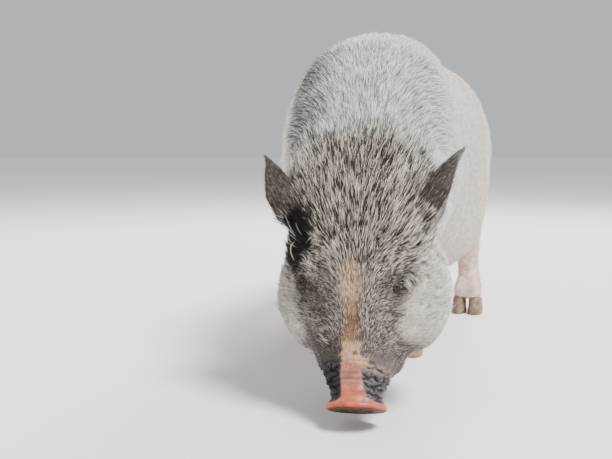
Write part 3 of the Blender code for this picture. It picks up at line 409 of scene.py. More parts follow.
class Paint:
    """A material in the making. Each input is a socket, a number, a vector or a colour."""

    def __init__(self, name):
        self.material = bpy.data.materials.new(name)
        self.material.use_nodes = True
        self.nodes = self.material.node_tree.nodes
        self.where = self.node("TexCoord", "Object")

    def fill(self, made, inputs):
        for key, value in inputs.items():
            socket = made.inputs[key]
            if isinstance(value, bpy.types.NodeSocket):
                self.material.node_tree.links.new(value, socket)
            elif isinstance(value, tuple) and len(value) < len(socket.default_value):
                socket.default_value = (*value, 1)
            else:
                socket.default_value = value

    def node(self, kind, output, inputs=None, **settings):
        made = self.nodes.new("ShaderNode" + kind)
        for name, value in settings.items():
            setattr(made, name, value)
        self.fill(made, inputs or {})
        return made.outputs[output]

    def noise(self, vector, scale, detail, roughness=0.5):
        inputs = {"Vector": vector, "Scale": scale, "Detail": detail, "Roughness": roughness}
        return self.node("TexNoise", "Fac", inputs)

    def attribute(self, name, output="Fac"):
        return self.node("Attribute", output, attribute_name=name)

    def math(self, operation, *values):
        return self.node("Math", 0, dict(enumerate(values)), operation=operation)

    def mix(self, share, one, two, kind="MULTIPLY"):
        return self.node("Mix", 2, {0: share, 6: one, 7: two}, data_type="RGBA", blend_type=kind)

    def ramp(self, value, *stops, kind="LINEAR"):
        made = self.nodes.new("ShaderNodeValToRGB")
        made.color_ramp.interpolation = kind
        line = made.color_ramp.elements
        for i, (place, colour) in enumerate(stops):
            stop = line[i] if i < 2 else line.new(place)
            stop.position = place
            stop.color = (*colour, 1)
        self.fill(made, {"Fac": value})
        return made.outputs["Color"]

    def bump(self, strength, distance, height, under=None):
        inputs = {"Strength": strength, "Distance": distance, "Height": height}
        return self.node("Bump", "Normal", inputs if under is None else {**inputs, "Normal": under})

    def finish(self, inputs):
        self.fill(self.nodes["Principled BSDF"], inputs)
        return self.material


def skin_paint():
    paint = Paint("skin")
    mottle = paint.noise(paint.where, 95.0, 5.0, 0.6)
    fine = paint.noise(paint.where, 620.0, 3.0, 0.65)
    shade = paint.ramp(mottle, (0.30, (0.62, 0.58, 0.58)), (0.70, (1.22, 1.20, 1.18)))
    colour = paint.mix(1.0, paint.attribute("tone", "Color"), shade)
    shade = paint.ramp(fine, (0.35, (0.72, 0.70, 0.70)), (0.65, (1.12, 1.12, 1.12)))
    colour = paint.mix(0.8, colour, shade)
    cells = paint.node(
        "TexVoronoi", "Distance", {"Vector": paint.where, "Scale": 430.0}, feature="DISTANCE_TO_EDGE"
    )
    streaks = {0: paint.attribute("lie", "Vector"), 1: (1100.0, 110.0, 1.0)}
    hair = paint.noise(paint.node("VectorMath", "Vector", streaks, operation="MULTIPLY"), 1.0, 3.0, 0.6)
    height = paint.bump(0.55, 0.0009, paint.math("MINIMUM", cells, 0.22))
    height = paint.bump(0.5, 0.0012, paint.math("MULTIPLY", hair, paint.attribute("furry")), height)
    dry = paint.math("MULTIPLY_ADD", fine, 0.30, 0.45)
    return paint.finish({
        "Base Color": colour,
        "Normal": paint.bump(0.30, 0.0008, fine, height),
        "Roughness": paint.math("MULTIPLY_ADD", paint.attribute("wet"), -0.26, dry),
        "Subsurface Weight": 0.12,
        "Subsurface Radius": (1.0, 0.35, 0.22),
        "Subsurface Scale": 0.004,
        "Specular IOR Level": 0.42,
    })


def coat_paint():
    paint = Paint("bristles")
    shade = paint.ramp(
        paint.attribute("along"),
        (0.0, (0.34, 0.31, 0.29)), (0.42, (0.92, 0.92, 0.91)), (1.0, (1.24, 1.23, 1.20)),
    )
    grain = paint.noise(paint.where, 160.0, 3.0, 0.6)
    colour = paint.mix(1.0, paint.attribute("tone", "Color"), shade)
    shade = paint.ramp(grain, (0.30, (0.80, 0.79, 0.77)), (0.70, (1.12, 1.12, 1.13)))
    return paint.finish({
        "Base Color": paint.mix(1.0, colour, shade),
        "Roughness": paint.math("MULTIPLY_ADD", grain, 0.22, 0.38),
        "Specular IOR Level": 0.36,
    })


def horn_paint():
    paint = Paint("horn")
    scaled = paint.node("Mapping", "Vector", {"Vector": paint.where, "Scale": (60, 60, 620)})
    rings = paint.noise(scaled, 1.0, 3.0, 0.6)
    stains = paint.noise(paint.where, 130.0, 4.0, 0.65)
    stain = paint.ramp(
        stains, (0.28, (0.085, 0.062, 0.048)), (0.55, (0.270, 0.195, 0.140)), (0.8, (0.430, 0.330, 0.250))
    )
    shade = paint.ramp(rings, (0.35, (0.66, 0.62, 0.58)), (0.65, (1.10, 1.08, 1.04)))
    return paint.finish({
        "Base Color": paint.mix(1.0, stain, shade),
        "Normal": paint.bump(0.25, 0.0008, stains, paint.bump(0.6, 0.0009, rings)),
        "Roughness": paint.math("MULTIPLY_ADD", stains, 0.35, 0.32),
    })


def eye_paint():
    """A dull brown iris round a dark pupil, seen through a wet clear surface."""
    paint = Paint("eyeball")
    threads = paint.noise(paint.where, 900.0, 2.0)
    spread = paint.math("MULTIPLY_ADD", threads, 0.06, paint.attribute("out"))
    colour = paint.ramp(
        spread, (0.0, (0.10, 0.070, 0.060)), (0.42, (0.070, 0.045, 0.036)), (0.50, (0.020, 0.010, 0.007)),
        (0.60, (0.040, 0.020, 0.011)), (0.80, (0.028, 0.013, 0.007)), (0.86, (0.004, 0.003, 0.003)),
    )
    return paint.finish({
        "Base Color": colour, "Roughness": 0.18, "Coat Weight": 1.0, "Coat Roughness": 0.03,
    })


# Numbers


def unit(rows):
    return rows / np.linalg.norm(rows, axis=1)[:, None]


def across_facing(rows, normals):
    """Rows with what runs along their normals taken off."""
    return rows - normals * (rows * normals).sum(1)[:, None]


def mixed(one, two, weight):
    return one + (two - one) * weight


def smooth(value, low, high):
    """0 below low, 1 above high, and a smooth step between."""
    share = np.clip((value - low) / (high - low), 0, 1)
    return share * share * (3 - 2 * share)


def fading(value, low, high):
    return 1 - smooth(value, low, high)


def wobble(points, size, seed):
    """Smooth noise from -1 to 1, with features about that size."""
    rng = np.random.default_rng(seed)
    total = np.zeros(len(points))
    for _ in range(6):
        way, other = rng.normal(size=(2, 3))
        way *= 2 * math.pi / (size * np.linalg.norm(way)) * rng.uniform(0.6, 1.3)
        other *= 2 * math.pi / (size * np.linalg.norm(other)) * 0.6
        total += np.sin(points @ way + 1.5 * np.sin(points @ other + rng.uniform(0, 6)) + rng.uniform(0, 6))
    return total / 3.2


def near(points, centre, radius):
    """A smooth weight, 1 at the centre and 0 from the radius outwards."""
    away = np.linalg.norm(points - np.array(centre), axis=1) / radius
    return np.clip(1 - away * away, 0, 1) ** 2


def ridge(points, path, radius):
    """The same weight round a line through several points."""
    weight = np.zeros(len(points))
    for start, end in zip(path, path[1:]):
        start, end = np.array(start), np.array(end)
        line = end - start
        share = np.clip((points - start) @ line / (line @ line), 0, 1)
        away = np.linalg.norm(points - start - share[:, None] * line, axis=1) / radius
        weight = np.maximum(weight, np.clip(1 - away * away, 0, 1) ** 2)
    return weight


def turns(count):
    """Cosines and sines of equal steps round a circle."""
    angles = [2 * math.pi * i / count for i in range(count)]
    return [(math.cos(angle), math.sin(angle)) for angle in angles]


def metres(row):
    return [value / 1e4 for value in row]


# Meshes


def mesh_from(name, bm):
    """A linked object that takes over what bm holds, with its faces pointing out."""
    bmesh.ops.recalc_face_normals(bm, faces=bm.faces)
    mesh = bpy.data.meshes.new(name)
    bm.to_mesh(mesh)
    bm.free()
    return linked(name, mesh)


@contextmanager
def edited(obj):
    """The object's mesh, open for edits."""
    bm = bmesh.new()
    bm.from_mesh(obj.data)
    yield bm
    bm.to_mesh(obj.data)
    bm.free()


def bake(obj):
    """Applies the object's modifiers."""
    graph = bpy.context.evaluated_depsgraph_get()
    obj.data = bpy.data.meshes.new_from_object(obj.evaluated_get(graph))
    obj.modifiers.clear()
    return obj


def rows_of(items, key, width, kind):
    values = np.empty(len(items) * width, kind)
    items.foreach_get(key, values)
    return values.reshape(-1, width)


def points_of(obj):
    return rows_of(obj.data.vertices, "co", 3, np.float32).astype(float)


def normals_of(obj):
    return rows_of(obj.data.vertices, "normal", 3, np.float32).astype(float)


def set_points(obj, points):
    obj.data.vertices.foreach_set("co", points.astype(np.float32).ravel())
    obj.data.update()


def edges_of(obj):
    return rows_of(obj.data.edges, "vertices", 2, np.int32)


def largest_shell(obj):
    """Keeps only the largest closed surface of a mesh."""
    edges = edges_of(obj)
    label = np.arange(len(obj.data.vertices))
    while True:
        low = label[edges].min(1)
        new = label.copy()
        np.minimum.at(new, edges[:, 0], low)
        np.minimum.at(new, edges[:, 1], low)
        new = new[new]
        if (new == label).all():
            break
        label = new
    keep = np.argmax(np.bincount(label))
    if (label != keep).any():
        with edited(obj) as bm:
            drop = [vert for vert, mark in zip(bm.verts, label) if mark != keep]
            bmesh.ops.delete(bm, geom=drop, context="VERTS")
    return obj


def cut_off(bm, geom, point, normal):
    """Cuts away what lies in front of a plane, and closes the cut."""
    cut = bmesh.ops.bisect_plane(
        bm, geom=geom, dist=1e-7, plane_co=point, plane_no=normal, clear_outer=True
    )
    rim = [e for e in cut["geom_cut"] if isinstance(e, bmesh.types.BMEdge)]
    bmesh.ops.holes_fill(bm, edges=rim, sides=0)


def ball(name, centre, radii, turn=Matrix.Identity(4), segments=28):
    bm = bmesh.new()
    place = Matrix.Translation(centre) @ turn @ Matrix.Diagonal((*radii, 1))
    bmesh.ops.create_uvsphere(bm, u_segments=segments, v_segments=segments // 2, radius=1, matrix=place)
    return mesh_from(name, bm)


def loft(name, rings):
    """A closed skin over rings of equal count, with a flat cap on each end."""
    bm = bmesh.new()
    rows = [[bm.verts.new(point) for point in ring] for ring in rings]
    count = len(rows[0])
    for low, high in zip(rows, rows[1:]):
        for i in range(count):
            j = (i + 1) % count
            bm.faces.new((low[i], low[j], high[j], high[i]))
    bm.faces.new(rows[0])
    bm.faces.new(rows[-1])
    return mesh_from(name, bm)


def power_curve(value, power):
    """A cosine or sine pushed out towards a squarer outline."""
    return math.copysign(abs(value) ** (2 / power), value)


def section(centre, up, wide, high, low, squareness, sag=0.0, count=36):
    """One ring of a loft, upright along up. Sag moves its width down."""
    ring = []
    for cos, sin in turns(count):
        rise = power_curve(sin, squareness)
        across = power_curve(cos, squareness) * (wide * (1 - sag * rise))
        rise *= high if rise > 0 else low
        ring.append(Vector(centre) + Vector((across, 0, 0)) + Vector(up) * rise)
    return ring


def head_point(across, along, above):
    """A point of the head, measured from the middle of the nose disc along the lowered muzzle."""
    cos, sin = math.cos(HEAD_PITCH), math.sin(HEAD_PITCH)
    return Vector((across, along * cos - above * sin, NOSE_HEIGHT + along * sin + above * cos))


def head_direction(across, along, above):
    return (head_point(across, along, above) - head_point(0, 0, 0)).normalized()


HEAD_UP = head_direction(0, 0, 1)
HEAD_TURN = Matrix.Rotation(HEAD_PITCH, 4, "X")


def head_coordinates(points):
    """Columns of across, along and above, the reverse of head_point."""
    cos, sin = math.cos(HEAD_PITCH), math.sin(HEAD_PITCH)
    rise = points[:, 2] - NOSE_HEIGHT
    return np.column_stack((
        points[:, 0], points[:, 1] * cos + rise * sin, -points[:, 1] * sin + rise * cos,
    ))


def from_head(place):
    cos, sin = math.cos(HEAD_PITCH), math.sin(HEAD_PITCH)
    return np.column_stack((
        place[:, 0], place[:, 1] * cos - place[:, 2] * sin,
        NOSE_HEIGHT + place[:, 1] * sin + place[:, 2] * cos,
    ))


def bent(points):
    """Carries straight points onto the pig's own curved path."""
    path = np.array(PATH)
    steps = np.linspace(path[0, 0], path[-1, 0], 1001)
    heading = np.radians(np.interp(steps, path[:, 0], path[:, 1]))
    stride = steps[1] - steps[0]
    path_x = np.cumsum(np.sin(heading)) * stride
    path_y = np.cumsum(np.cos(heading)) * stride
    lean = np.radians(np.interp(points[:, 1], path[:, 0], path[:, 2]))
    above = points[:, 2] - PATH_AXIS_HEIGHT
    across = points[:, 0] * np.cos(lean) - above * np.sin(lean)
    turn = np.interp(points[:, 1], steps, heading)
    out = points.copy()
    out[:, 0] = np.interp(points[:, 1], steps, path_x) + across * np.cos(turn)
    out[:, 1] = np.interp(points[:, 1], steps, path_y) - across * np.sin(turn)
    out[:, 2] = PATH_AXIS_HEIGHT + points[:, 0] * np.sin(lean) + above * np.cos(lean)
    return out


# Flesh, as overlapping masses


def trunk():
    rings = []
    for y, z, climb, wide, high, sag in TRUNK_STATIONS:
        climb = math.radians(climb)
        up = Vector((0, -math.sin(climb), math.cos(climb)))
        rings.append(section((0, y, z), up, wide, high, high, TRUNK_SQUARENESS, sag))
    return loft("trunk", rings)


def head_ball(name, side, row):
    across, along, above, *radii = metres(row)
    return ball(name, head_point(side * across, along, above), radii, HEAD_TURN)


def head_masses():
    rings = [
        section(head_point(0, along, 0), HEAD_UP, *sizes, HEAD_SQUARENESS)
        for along, *sizes in map(metres, HEAD_STATIONS)
    ]
    pairs = [head_ball(name, side, row) for side in SIDES.values() for name, row in HEAD_PAIRS.items()]
    return [loft("skull", rings), *pairs, *(head_ball(name, 1, row) for name, row in HEAD_SINGLES.items())]


def limb(name, stations, count=24):
    """A loft down a leg, across its own path: x, y, z, half width, half depth."""
    centres = [Vector(station[:3]) for station in stations]
    rings = []
    for i, (centre, station) in enumerate(zip(centres, stations)):
        down = (centres[min(i + 1, len(centres) - 1)] - centres[max(i - 1, 0)]).normalized()
        across = Vector((0, 1, 0)).cross(down).normalized()
        fore = down.cross(across)
        rings.append([
            centre + across * (station[3] * cos) + fore * (station[4] * sin) for cos, sin in turns(count)
        ])
    return loft(name, rings)


def digits(side, foot):
    """The two fleshy toes that carry the main hooves, and the stubs of the dew claws."""
    x, y = foot
    toes = []
    for way in (-1, 1):
        centre = (side * x + way * (TOE_HALF_GAP - 0.0010), y - 0.007, 0.034)
        lean = Matrix.Rotation(math.radians(20), 4, "X")
        toes.append(ball("digit", centre, (0.0116, 0.0165, 0.024), lean))
        stub = (side * x + way * 0.0125, y + 0.0155, 0.045)
        toes.append(ball("stub", stub, (0.0078, 0.0080, 0.010)))
    return toes


def leg_masses(leg, side):
    rows = [metres((side * x, *rest)) for x, *rest in LEG_STATIONS[leg]]
    masses = [limb(leg, rows)]
    for x, y, z, *radii in map(metres, LEG_MASSES[leg]):
        masses.append(ball(leg + "_mass", (side * x, y, z), radii))
    return masses + digits(side, FEET[leg])


def snout():
    """The nose disc, with a rolled rim."""
    high, low = SNOUT_HALF_HEIGHT, SNOUT_HALF_HEIGHT * 0.92
    rings = []
    for along, share in SNOUT_PROFILE:
        sizes = (SNOUT_HALF_WIDTH * share, high * share, low * share)
        rings.append(section(head_point(0, along, 0), HEAD_UP, *sizes, SNOUT_SQUARENESS, 0.04, 56))
    return loft("snout", rings)


def ear_axes(side):
    """The ear's own directions: towards the tip, out of its opening, and across."""
    tip = Vector((side * 0.48, 0.40, 0.62)).normalized()
    mouth = Vector((side * 0.74, -0.16, -0.60))
    mouth = (mouth - tip * mouth.dot(tip)).normalized()
    return tip, mouth, tip.cross(mouth) * side


def ear_root(side):
    return head_point(side * EAR_ROOT[0], *EAR_ROOT[1:])


def ear_curl(rise):
    """The radius and the half angle of the ear's cup."""
    curl = math.radians(float(np.interp(rise, EAR_RISES, EAR_CURLS)))
    return EAR_HALF_WIDTH * float(np.interp(rise, EAR_RISES, EAR_WIDTHS)) / curl, curl


def ear_surface(side, across, rise):
    """A point of the ear: across goes from -1 to 1 round the cup, rise from 0 at the root to 1 at the tip."""
    tip, mouth, along = ear_axes(side)
    radius, curl = ear_curl(rise)
    turn = across * curl
    return (
        ear_root(side) + tip * (EAR_LENGTH * rise)
        + mouth * (radius * (1 - math.cos(turn)) + EAR_BOW * rise * rise) + along * (radius * math.sin(turn))
    )


def ear(side, columns=33, rows=37):
    """A cupped leaf of gristle and skin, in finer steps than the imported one."""
    bm = bmesh.new()
    grid = []
    for row in range(rows):
        rise = EAR_RISES[0] + (1 - EAR_RISES[0]) * row / (rows - 1)
        places = [ear_surface(side, 2 * i / (columns - 1) - 1, rise) for i in range(columns)]
        grid.append([bm.verts.new(place) for place in places])
    for low, high in zip(grid, grid[1:]):
        for i in range(columns - 1):
            bm.faces.new((low[i], low[i + 1], high[i + 1], high[i]))
    out = mesh_from("ear", bm)
    shell = out.modifiers.new("thickness", "SOLIDIFY")
    shell.thickness = EAR_THICKNESS
    shell.offset = 0
    return bake(out)


def joined(name, pieces):
    """One mesh of many overlapping closed pieces, not yet fused."""
    bm = bmesh.new()
    for piece in pieces:
        bm.from_mesh(piece.data)
        bpy.data.objects.remove(piece)
    return mesh_from(name, bm)


def relaxed(obj, points, rounds, hold):
    """Points of a mesh pulled towards the mean of their neighbours, less where hold is near 1."""
    one, two = edges_of(obj).T
    degree = np.bincount(np.concatenate((one, two)), minlength=len(points))[:, None]
    pull = RELAX_PULL * (1 - hold)[:, None]
    for _ in range(rounds):
        total = np.zeros_like(points)
        for axis in range(3):
            total[:, axis] += np.bincount(one, points[two, axis], len(points))
            total[:, axis] += np.bincount(two, points[one, axis], len(points))
        points = points + pull * (total / degree - points)
    set_points(obj, points)


def eye_direction(side):
    return head_direction(side * 0.80, -0.30, 0.52)


def eye_axes(side):
    """A rotation whose Z looks out of the eye and whose X goes along the slit of its lids."""
    out = eye_direction(side)
    slit = head_direction(side * 0.66, 0.70, -0.61)
    slit = (slit - out * slit.dot(out)).normalized()
    return Matrix((slit, out.cross(slit), out)).transposed().to_4x4()


def eye_frame(points, label):
    """Places seen from an eyeball: along the slit of the lids, up from it, and out of the eye."""
    axes = np.array(eye_axes(SIDES[label]).to_3x3())
    return (points - np.array(EYES[label])) @ axes * (1, SIDES[label], 1)


def tree_of(obj):
    bm = bmesh.new()
    bm.from_mesh(obj.data)
    tree = BVHTree.FromBMesh(bm)
    bm.free()
    return tree


def eye_on_skin(body, side):
    """Where the eye looks out of the skin."""
    out = eye_direction(side)
    aim = head_point(side * EYE_ACROSS, EYE_ALONG, EYE_ABOVE)
    return tree_of(body).ray_cast(aim + out * 0.05, -out)[0]


def lid_strokes(middle, side):
    """The rolls of the upper and the lower lid, and the fold that sets each off from the face."""
    axes = eye_axes(side).to_3x3()
    strokes = []
    for way, lift, swell in ((side, 1.0, 0.0036), (-side, 0.9, 0.0028)):
        for out, radius, height in ((1.0, 0.0056, swell), (2.2, 0.0052, -0.6 * swell)):
            path = [
                middle + axes @ Vector((x * (0.8 + 0.2 * out), way * y * lift * out, z))
                for x, y, z in (
                    (-0.0125, 0.0010, -0.003), (-0.006, 0.0058, 0),
                    (0.004, 0.0062, 0), (0.0125, 0.0012, -0.003),
                )
            ]
            strokes.append((path, radius, height))
    return strokes


def head_strokes(side, rows):
    """Rows of a table of folds, as strokes on one side of the head."""
    return [
        ([head_point(*metres((side * x, *rest))) for x, *rest in path], *metres(sizes))
        for path, *sizes in rows
    ]


def stroked(obj, strokes):
    points = points_of(obj)
    for path, radius, swell in strokes:
        normals = normals_of(obj)
        points = points + normals * (ridge(points, path, radius) * swell)[:, None]
        set_points(obj, points)
    return obj


def voxelled(obj, size):
    remesh = obj.modifiers.new("fuse", "REMESH")
    remesh.mode = "VOXEL"
    remesh.voxel_size = size
    return largest_shell(bake(obj))


def thinned(skin, share):
    """Fewer triangles on the trunk, where the coat hides the skin."""
    points = points_of(skin)
    bare = (points[:, 1] < 0.13) | (points[:, 2] < 0.09) | (ear_places(points)[0] > 0)
    group = skin.vertex_groups.new(name="trunk")
    group.add(np.nonzero(~bare)[0].tolist(), 1.0, "ADD")
    fewer = skin.modifiers.new("thin", "DECIMATE")
    fewer.ratio = share
    fewer.vertex_group = "trunk"
    bake(skin)
    skin.vertex_groups.clear()


def flesh():
    """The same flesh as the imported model's, before it is parted."""
    masses = [trunk(), *head_masses()]
    for side in SIDES.values():
        masses += leg_masses("foreleg", side) + leg_masses("hindleg", side)
    body = voxelled(joined("flesh", masses), VOXEL)
    points = points_of(body)
    head = near(points, head_point(0, 0.07, 0.0), 0.22)
    hold = np.maximum(0.45 * np.sqrt(head), 0.8 * near(points, head_point(0, 0, 0), 0.075))
    relaxed(body, points, 44, np.maximum(hold, np.interp(points[:, 2], (0.05, 0.12), (0.75, 0.0))))
    strokes = [stroke for side in SIDES.values() for stroke in head_strokes(side, FACE_FOLDS)]
    strokes += head_strokes(1, BROW_DIP)
    for side in SIDES.values():
        strokes += lid_strokes(eye_on_skin(body, side), side)
    return stroked(body, strokes)


def swollen(points, undo=False):
    """Points with the head enlarged about the nose, or brought back to size."""
    nose = np.array(head_point(0, 0, 0))
    reach = np.linspace(0, 1.5, 1200)
    marks = np.array(SKIN_DETAIL)
    stretch = np.interp(reach, marks[:, 0], marks[:, 1])
    swell = np.concatenate(([0], np.cumsum((stretch[1:] + stretch[:-1]) / 2 * reach[1])))
    away = points - nose
    far = np.linalg.norm(away, axis=1)
    new = np.interp(far, swell, reach) if undo else np.interp(far, reach, swell)
    return nose + away * (new / np.maximum(far, 1e-9))[:, None]


# Skin: one closed surface, finer towards the nose


def on_skin(tree, path, step=0.0025):
    """A path laid on the skin: points a step apart, each moved to the nearest place on it."""
    laid = []
    for start, end in zip(path, path[1:]):
        start, end = Vector(start), Vector(end)
        count = max(2, math.ceil((end - start).length / step))
        laid += [tree.find_nearest(start.lerp(end, i / count))[0] for i in range(count)]
    return laid + [tree.find_nearest(Vector(path[-1]))[0]]


def carve(obj, strokes):
    """Narrow folds along paths laid on the skin: a path, a radius, and a height or a depth below 0."""
    tree = tree_of(obj)
    points = points_of(obj)
    normals = normals_of(obj)
    for path, radius, swell in strokes:
        path = np.array(on_skin(tree, path))
        middle = path.mean(0)
        span = np.linalg.norm(path - middle, axis=1).max() + radius
        close = np.nonzero(np.linalg.norm(points - middle, axis=1) < span)[0]
        if len(close):
            weight = ridge(points[close], path, radius)
            points[close] += normals[close] * (weight * swell)[:, None]
    set_points(obj, points)


def fine_strokes():
    """The creases of the head, and those at the fetlocks, behind the shoulders and before the thighs."""
    rows = [stroke for side in SIDES.values() for stroke in head_strokes(side, FINE_FOLDS)]
    for rise, depth in ((0.060, -0.0010), (0.072, -0.0013), (0.086, -0.0010)):
        for x, y in FEET.values():
            for side in SIDES.values():
                for way in (-1, 1):
                    front = (side * x, y - 0.022, rise)
                    flank = (side * x + way * 0.021, y - 0.002, rise + 0.004)
                    rows.append(([front, flank], 0.0040, depth))
    for side in SIDES.values():
        for y, top, low, depth in (
            (0.335, 0.240, 0.130, -0.0030), (0.350, 0.200, 0.120, -0.0020), (0.520, 0.190, 0.110, -0.0026),
        ):
            rows.append(([(side * 0.118, y, top), (side * 0.118, y + 0.012, low)], 0.016, depth))
    return rows


def band_edges(along):
    """How far the stripe down the face reaches to the pig's right and to its left."""
    return [np.interp(along, metres(places), metres(edges)) for places, edges in (BAND_RIGHT, BAND_LEFT)]


def wrinkles(points):
    """Depth of the creases on the sides of the nose, and how bare the skin is there, both from 0 to 1."""
    x, along, above = head_coordinates(points).T
    warp = 0.0016 * wobble(points, 0.011, 51)
    ring = along + 0.24 * np.abs(x) + warp
    slant = 0.62 * along - 0.62 * np.abs(x) + 1.3 * warp
    fine = along - 0.5 * np.abs(x) + 0.0006 * wobble(points, 0.005, 52)
    deep = (1 - np.abs(np.sin(math.pi * ring / 0.0078))) ** 2.3
    cross = (1 - np.abs(np.sin(math.pi * slant / 0.0092))) ** 2.7
    thin = (1 - np.abs(np.sin(math.pi * fine / 0.0031))) ** 2
    bare = smooth(along, 0.005, 0.010) * fading(along + 0.12 * x, 0.034, 0.044) * (above > -0.022)
    right_edge, left_edge = band_edges(along)
    bare *= np.where(x > 0, smooth(x - left_edge, 0.0004, 0.0034), smooth(-x - right_edge, 0.0010, 0.0045))
    return np.clip(np.maximum(deep, 0.8 * cross) + 0.28 * thin, 0, 1) * bare, bare


def opened_nostrils(points):
    """Sinks the nostrils into the disc, and raises a rim round each."""
    place = head_coordinates(points)
    front = place[:, 1] < 0.005
    for side in SIDES.values():
        across = place[:, 0] - side * NOSTRIL_ACROSS
        rise = place[:, 2] - 0.0005 + 0.10 * side * across
        away = np.hypot(across / NOSTRIL_HALF_SIZE[0], rise / NOSTRIL_HALF_SIZE[1])
        inside = front & (away < 1)
        rim = front & (away >= 1) & (away < 1.7)
        place[inside, 1] += NOSTRIL_DEPTH * np.sqrt(1 - away[inside] ** 2)
        place[inside, 0] -= side * 0.0016 * (1 - away[inside] ** 2)
        place[rim, 1] -= NOSTRIL_RIM * np.sin((away[rim] - 1) / 0.7 * math.pi)
    return from_head(place)


def lidded(points, label):
    """Lids close round the ball, with a narrow opening between them."""
    side = SIDES[label]
    x, up, z = eye_frame(points, label).T
    cover = EYE_RADIUS + 0.0011 + 0.0016 * np.clip((np.abs(up) - 0.002) / 0.007, 0, 1)
    dome = np.sqrt(np.maximum(cover ** 2 - np.minimum(x * x + up * up, cover ** 2), 0))
    hug = fading(np.hypot(x / 1.15, up), 0.0075, 0.0125) * (z > 0)
    z = z + hug * (dome - z)
    slit = EYE_SLIT * np.clip(1 - (x / EYE_SLIT_HALF_LENGTH) ** 2, 0, 1)
    off = up - EYE_SLIT_RISE
    over_ball = (np.abs(x) < EYE_SLIT_HALF_LENGTH) & (z > 0)
    margin = (np.abs(np.abs(off) - slit) < 0.0007) & over_ball
    off = np.where(margin, np.sign(off) * (slit + 0.0001), off)
    inside = (np.abs(off) < slit - 0.0001) & over_ball
    z = np.where(inside, np.minimum(z, EYE_RADIUS * 0.55), z)
    crease = np.exp(-((np.abs(up + 0.001) - 0.0062) / 0.0011) ** 2) * fading(np.abs(x), 0.006, 0.012)
    z = z - 0.0012 * crease * (z > 0)
    axes = np.array(eye_axes(side).to_3x3())
    return np.array(EYES[label]) + np.column_stack((x, side * (off + EYE_SLIT_RISE), z)) @ axes.T


def trunk_angle(points):
    """Turn about the trunk's middle line: 0 on the back, positive to the pig's left, pi on the belly."""
    stations = np.array(TRUNK_STATIONS)
    middle = np.interp(points[:, 1], stations[:, 0], stations[:, 1])
    return np.arctan2(points[:, 0], points[:, 2] - middle)


def ear_places(points):
    """For points near an ear: how much they belong to it, its side, the place across and up it, and the way
    into its cup."""
    spots, rows = [], []
    for side in SIDES.values():
        tip, mouth, _ = ear_axes(side)
        for rise in np.linspace(-0.28, 1, 46):
            axis = ear_root(side) + tip * (EAR_LENGTH * rise)
            axis = axis + mouth * (ear_curl(rise)[0] + EAR_BOW * rise * rise)
            for across in np.linspace(-1, 1, 33):
                spots.append(ear_surface(side, across, rise))
                rows.append((side, across, rise, *(axis - spots[-1]).normalized()))
    tree = KDTree(len(spots))
    for i, spot in enumerate(spots):
        tree.insert(spot, i)
    tree.balance()
    away = [np.linalg.norm(points - np.array(ear_root(side)), axis=1) for side in SIDES.values()]
    torn = 0.0014 * wobble(points, 0.007, 61)
    found = np.minimum(*away) < EAR_REACH
    out = np.zeros((len(points), 7))
    for i in np.nonzero(found)[0]:
        _, spot, far = tree.find(points[i])
        out[i] = (far, *rows[spot])
    belongs = found * fading(out[:, 0] + torn, 0.0026, 0.0050) * smooth(out[:, 3], -0.12, 0.02)
    return belongs, out[:, 1], out[:, 2], out[:, 3], out[:, 4:]


def facing(ears, normals):
    """How far the skin of an ear looks into its cup, from -1 to 1."""
    return (ears[4] * normals).sum(1)
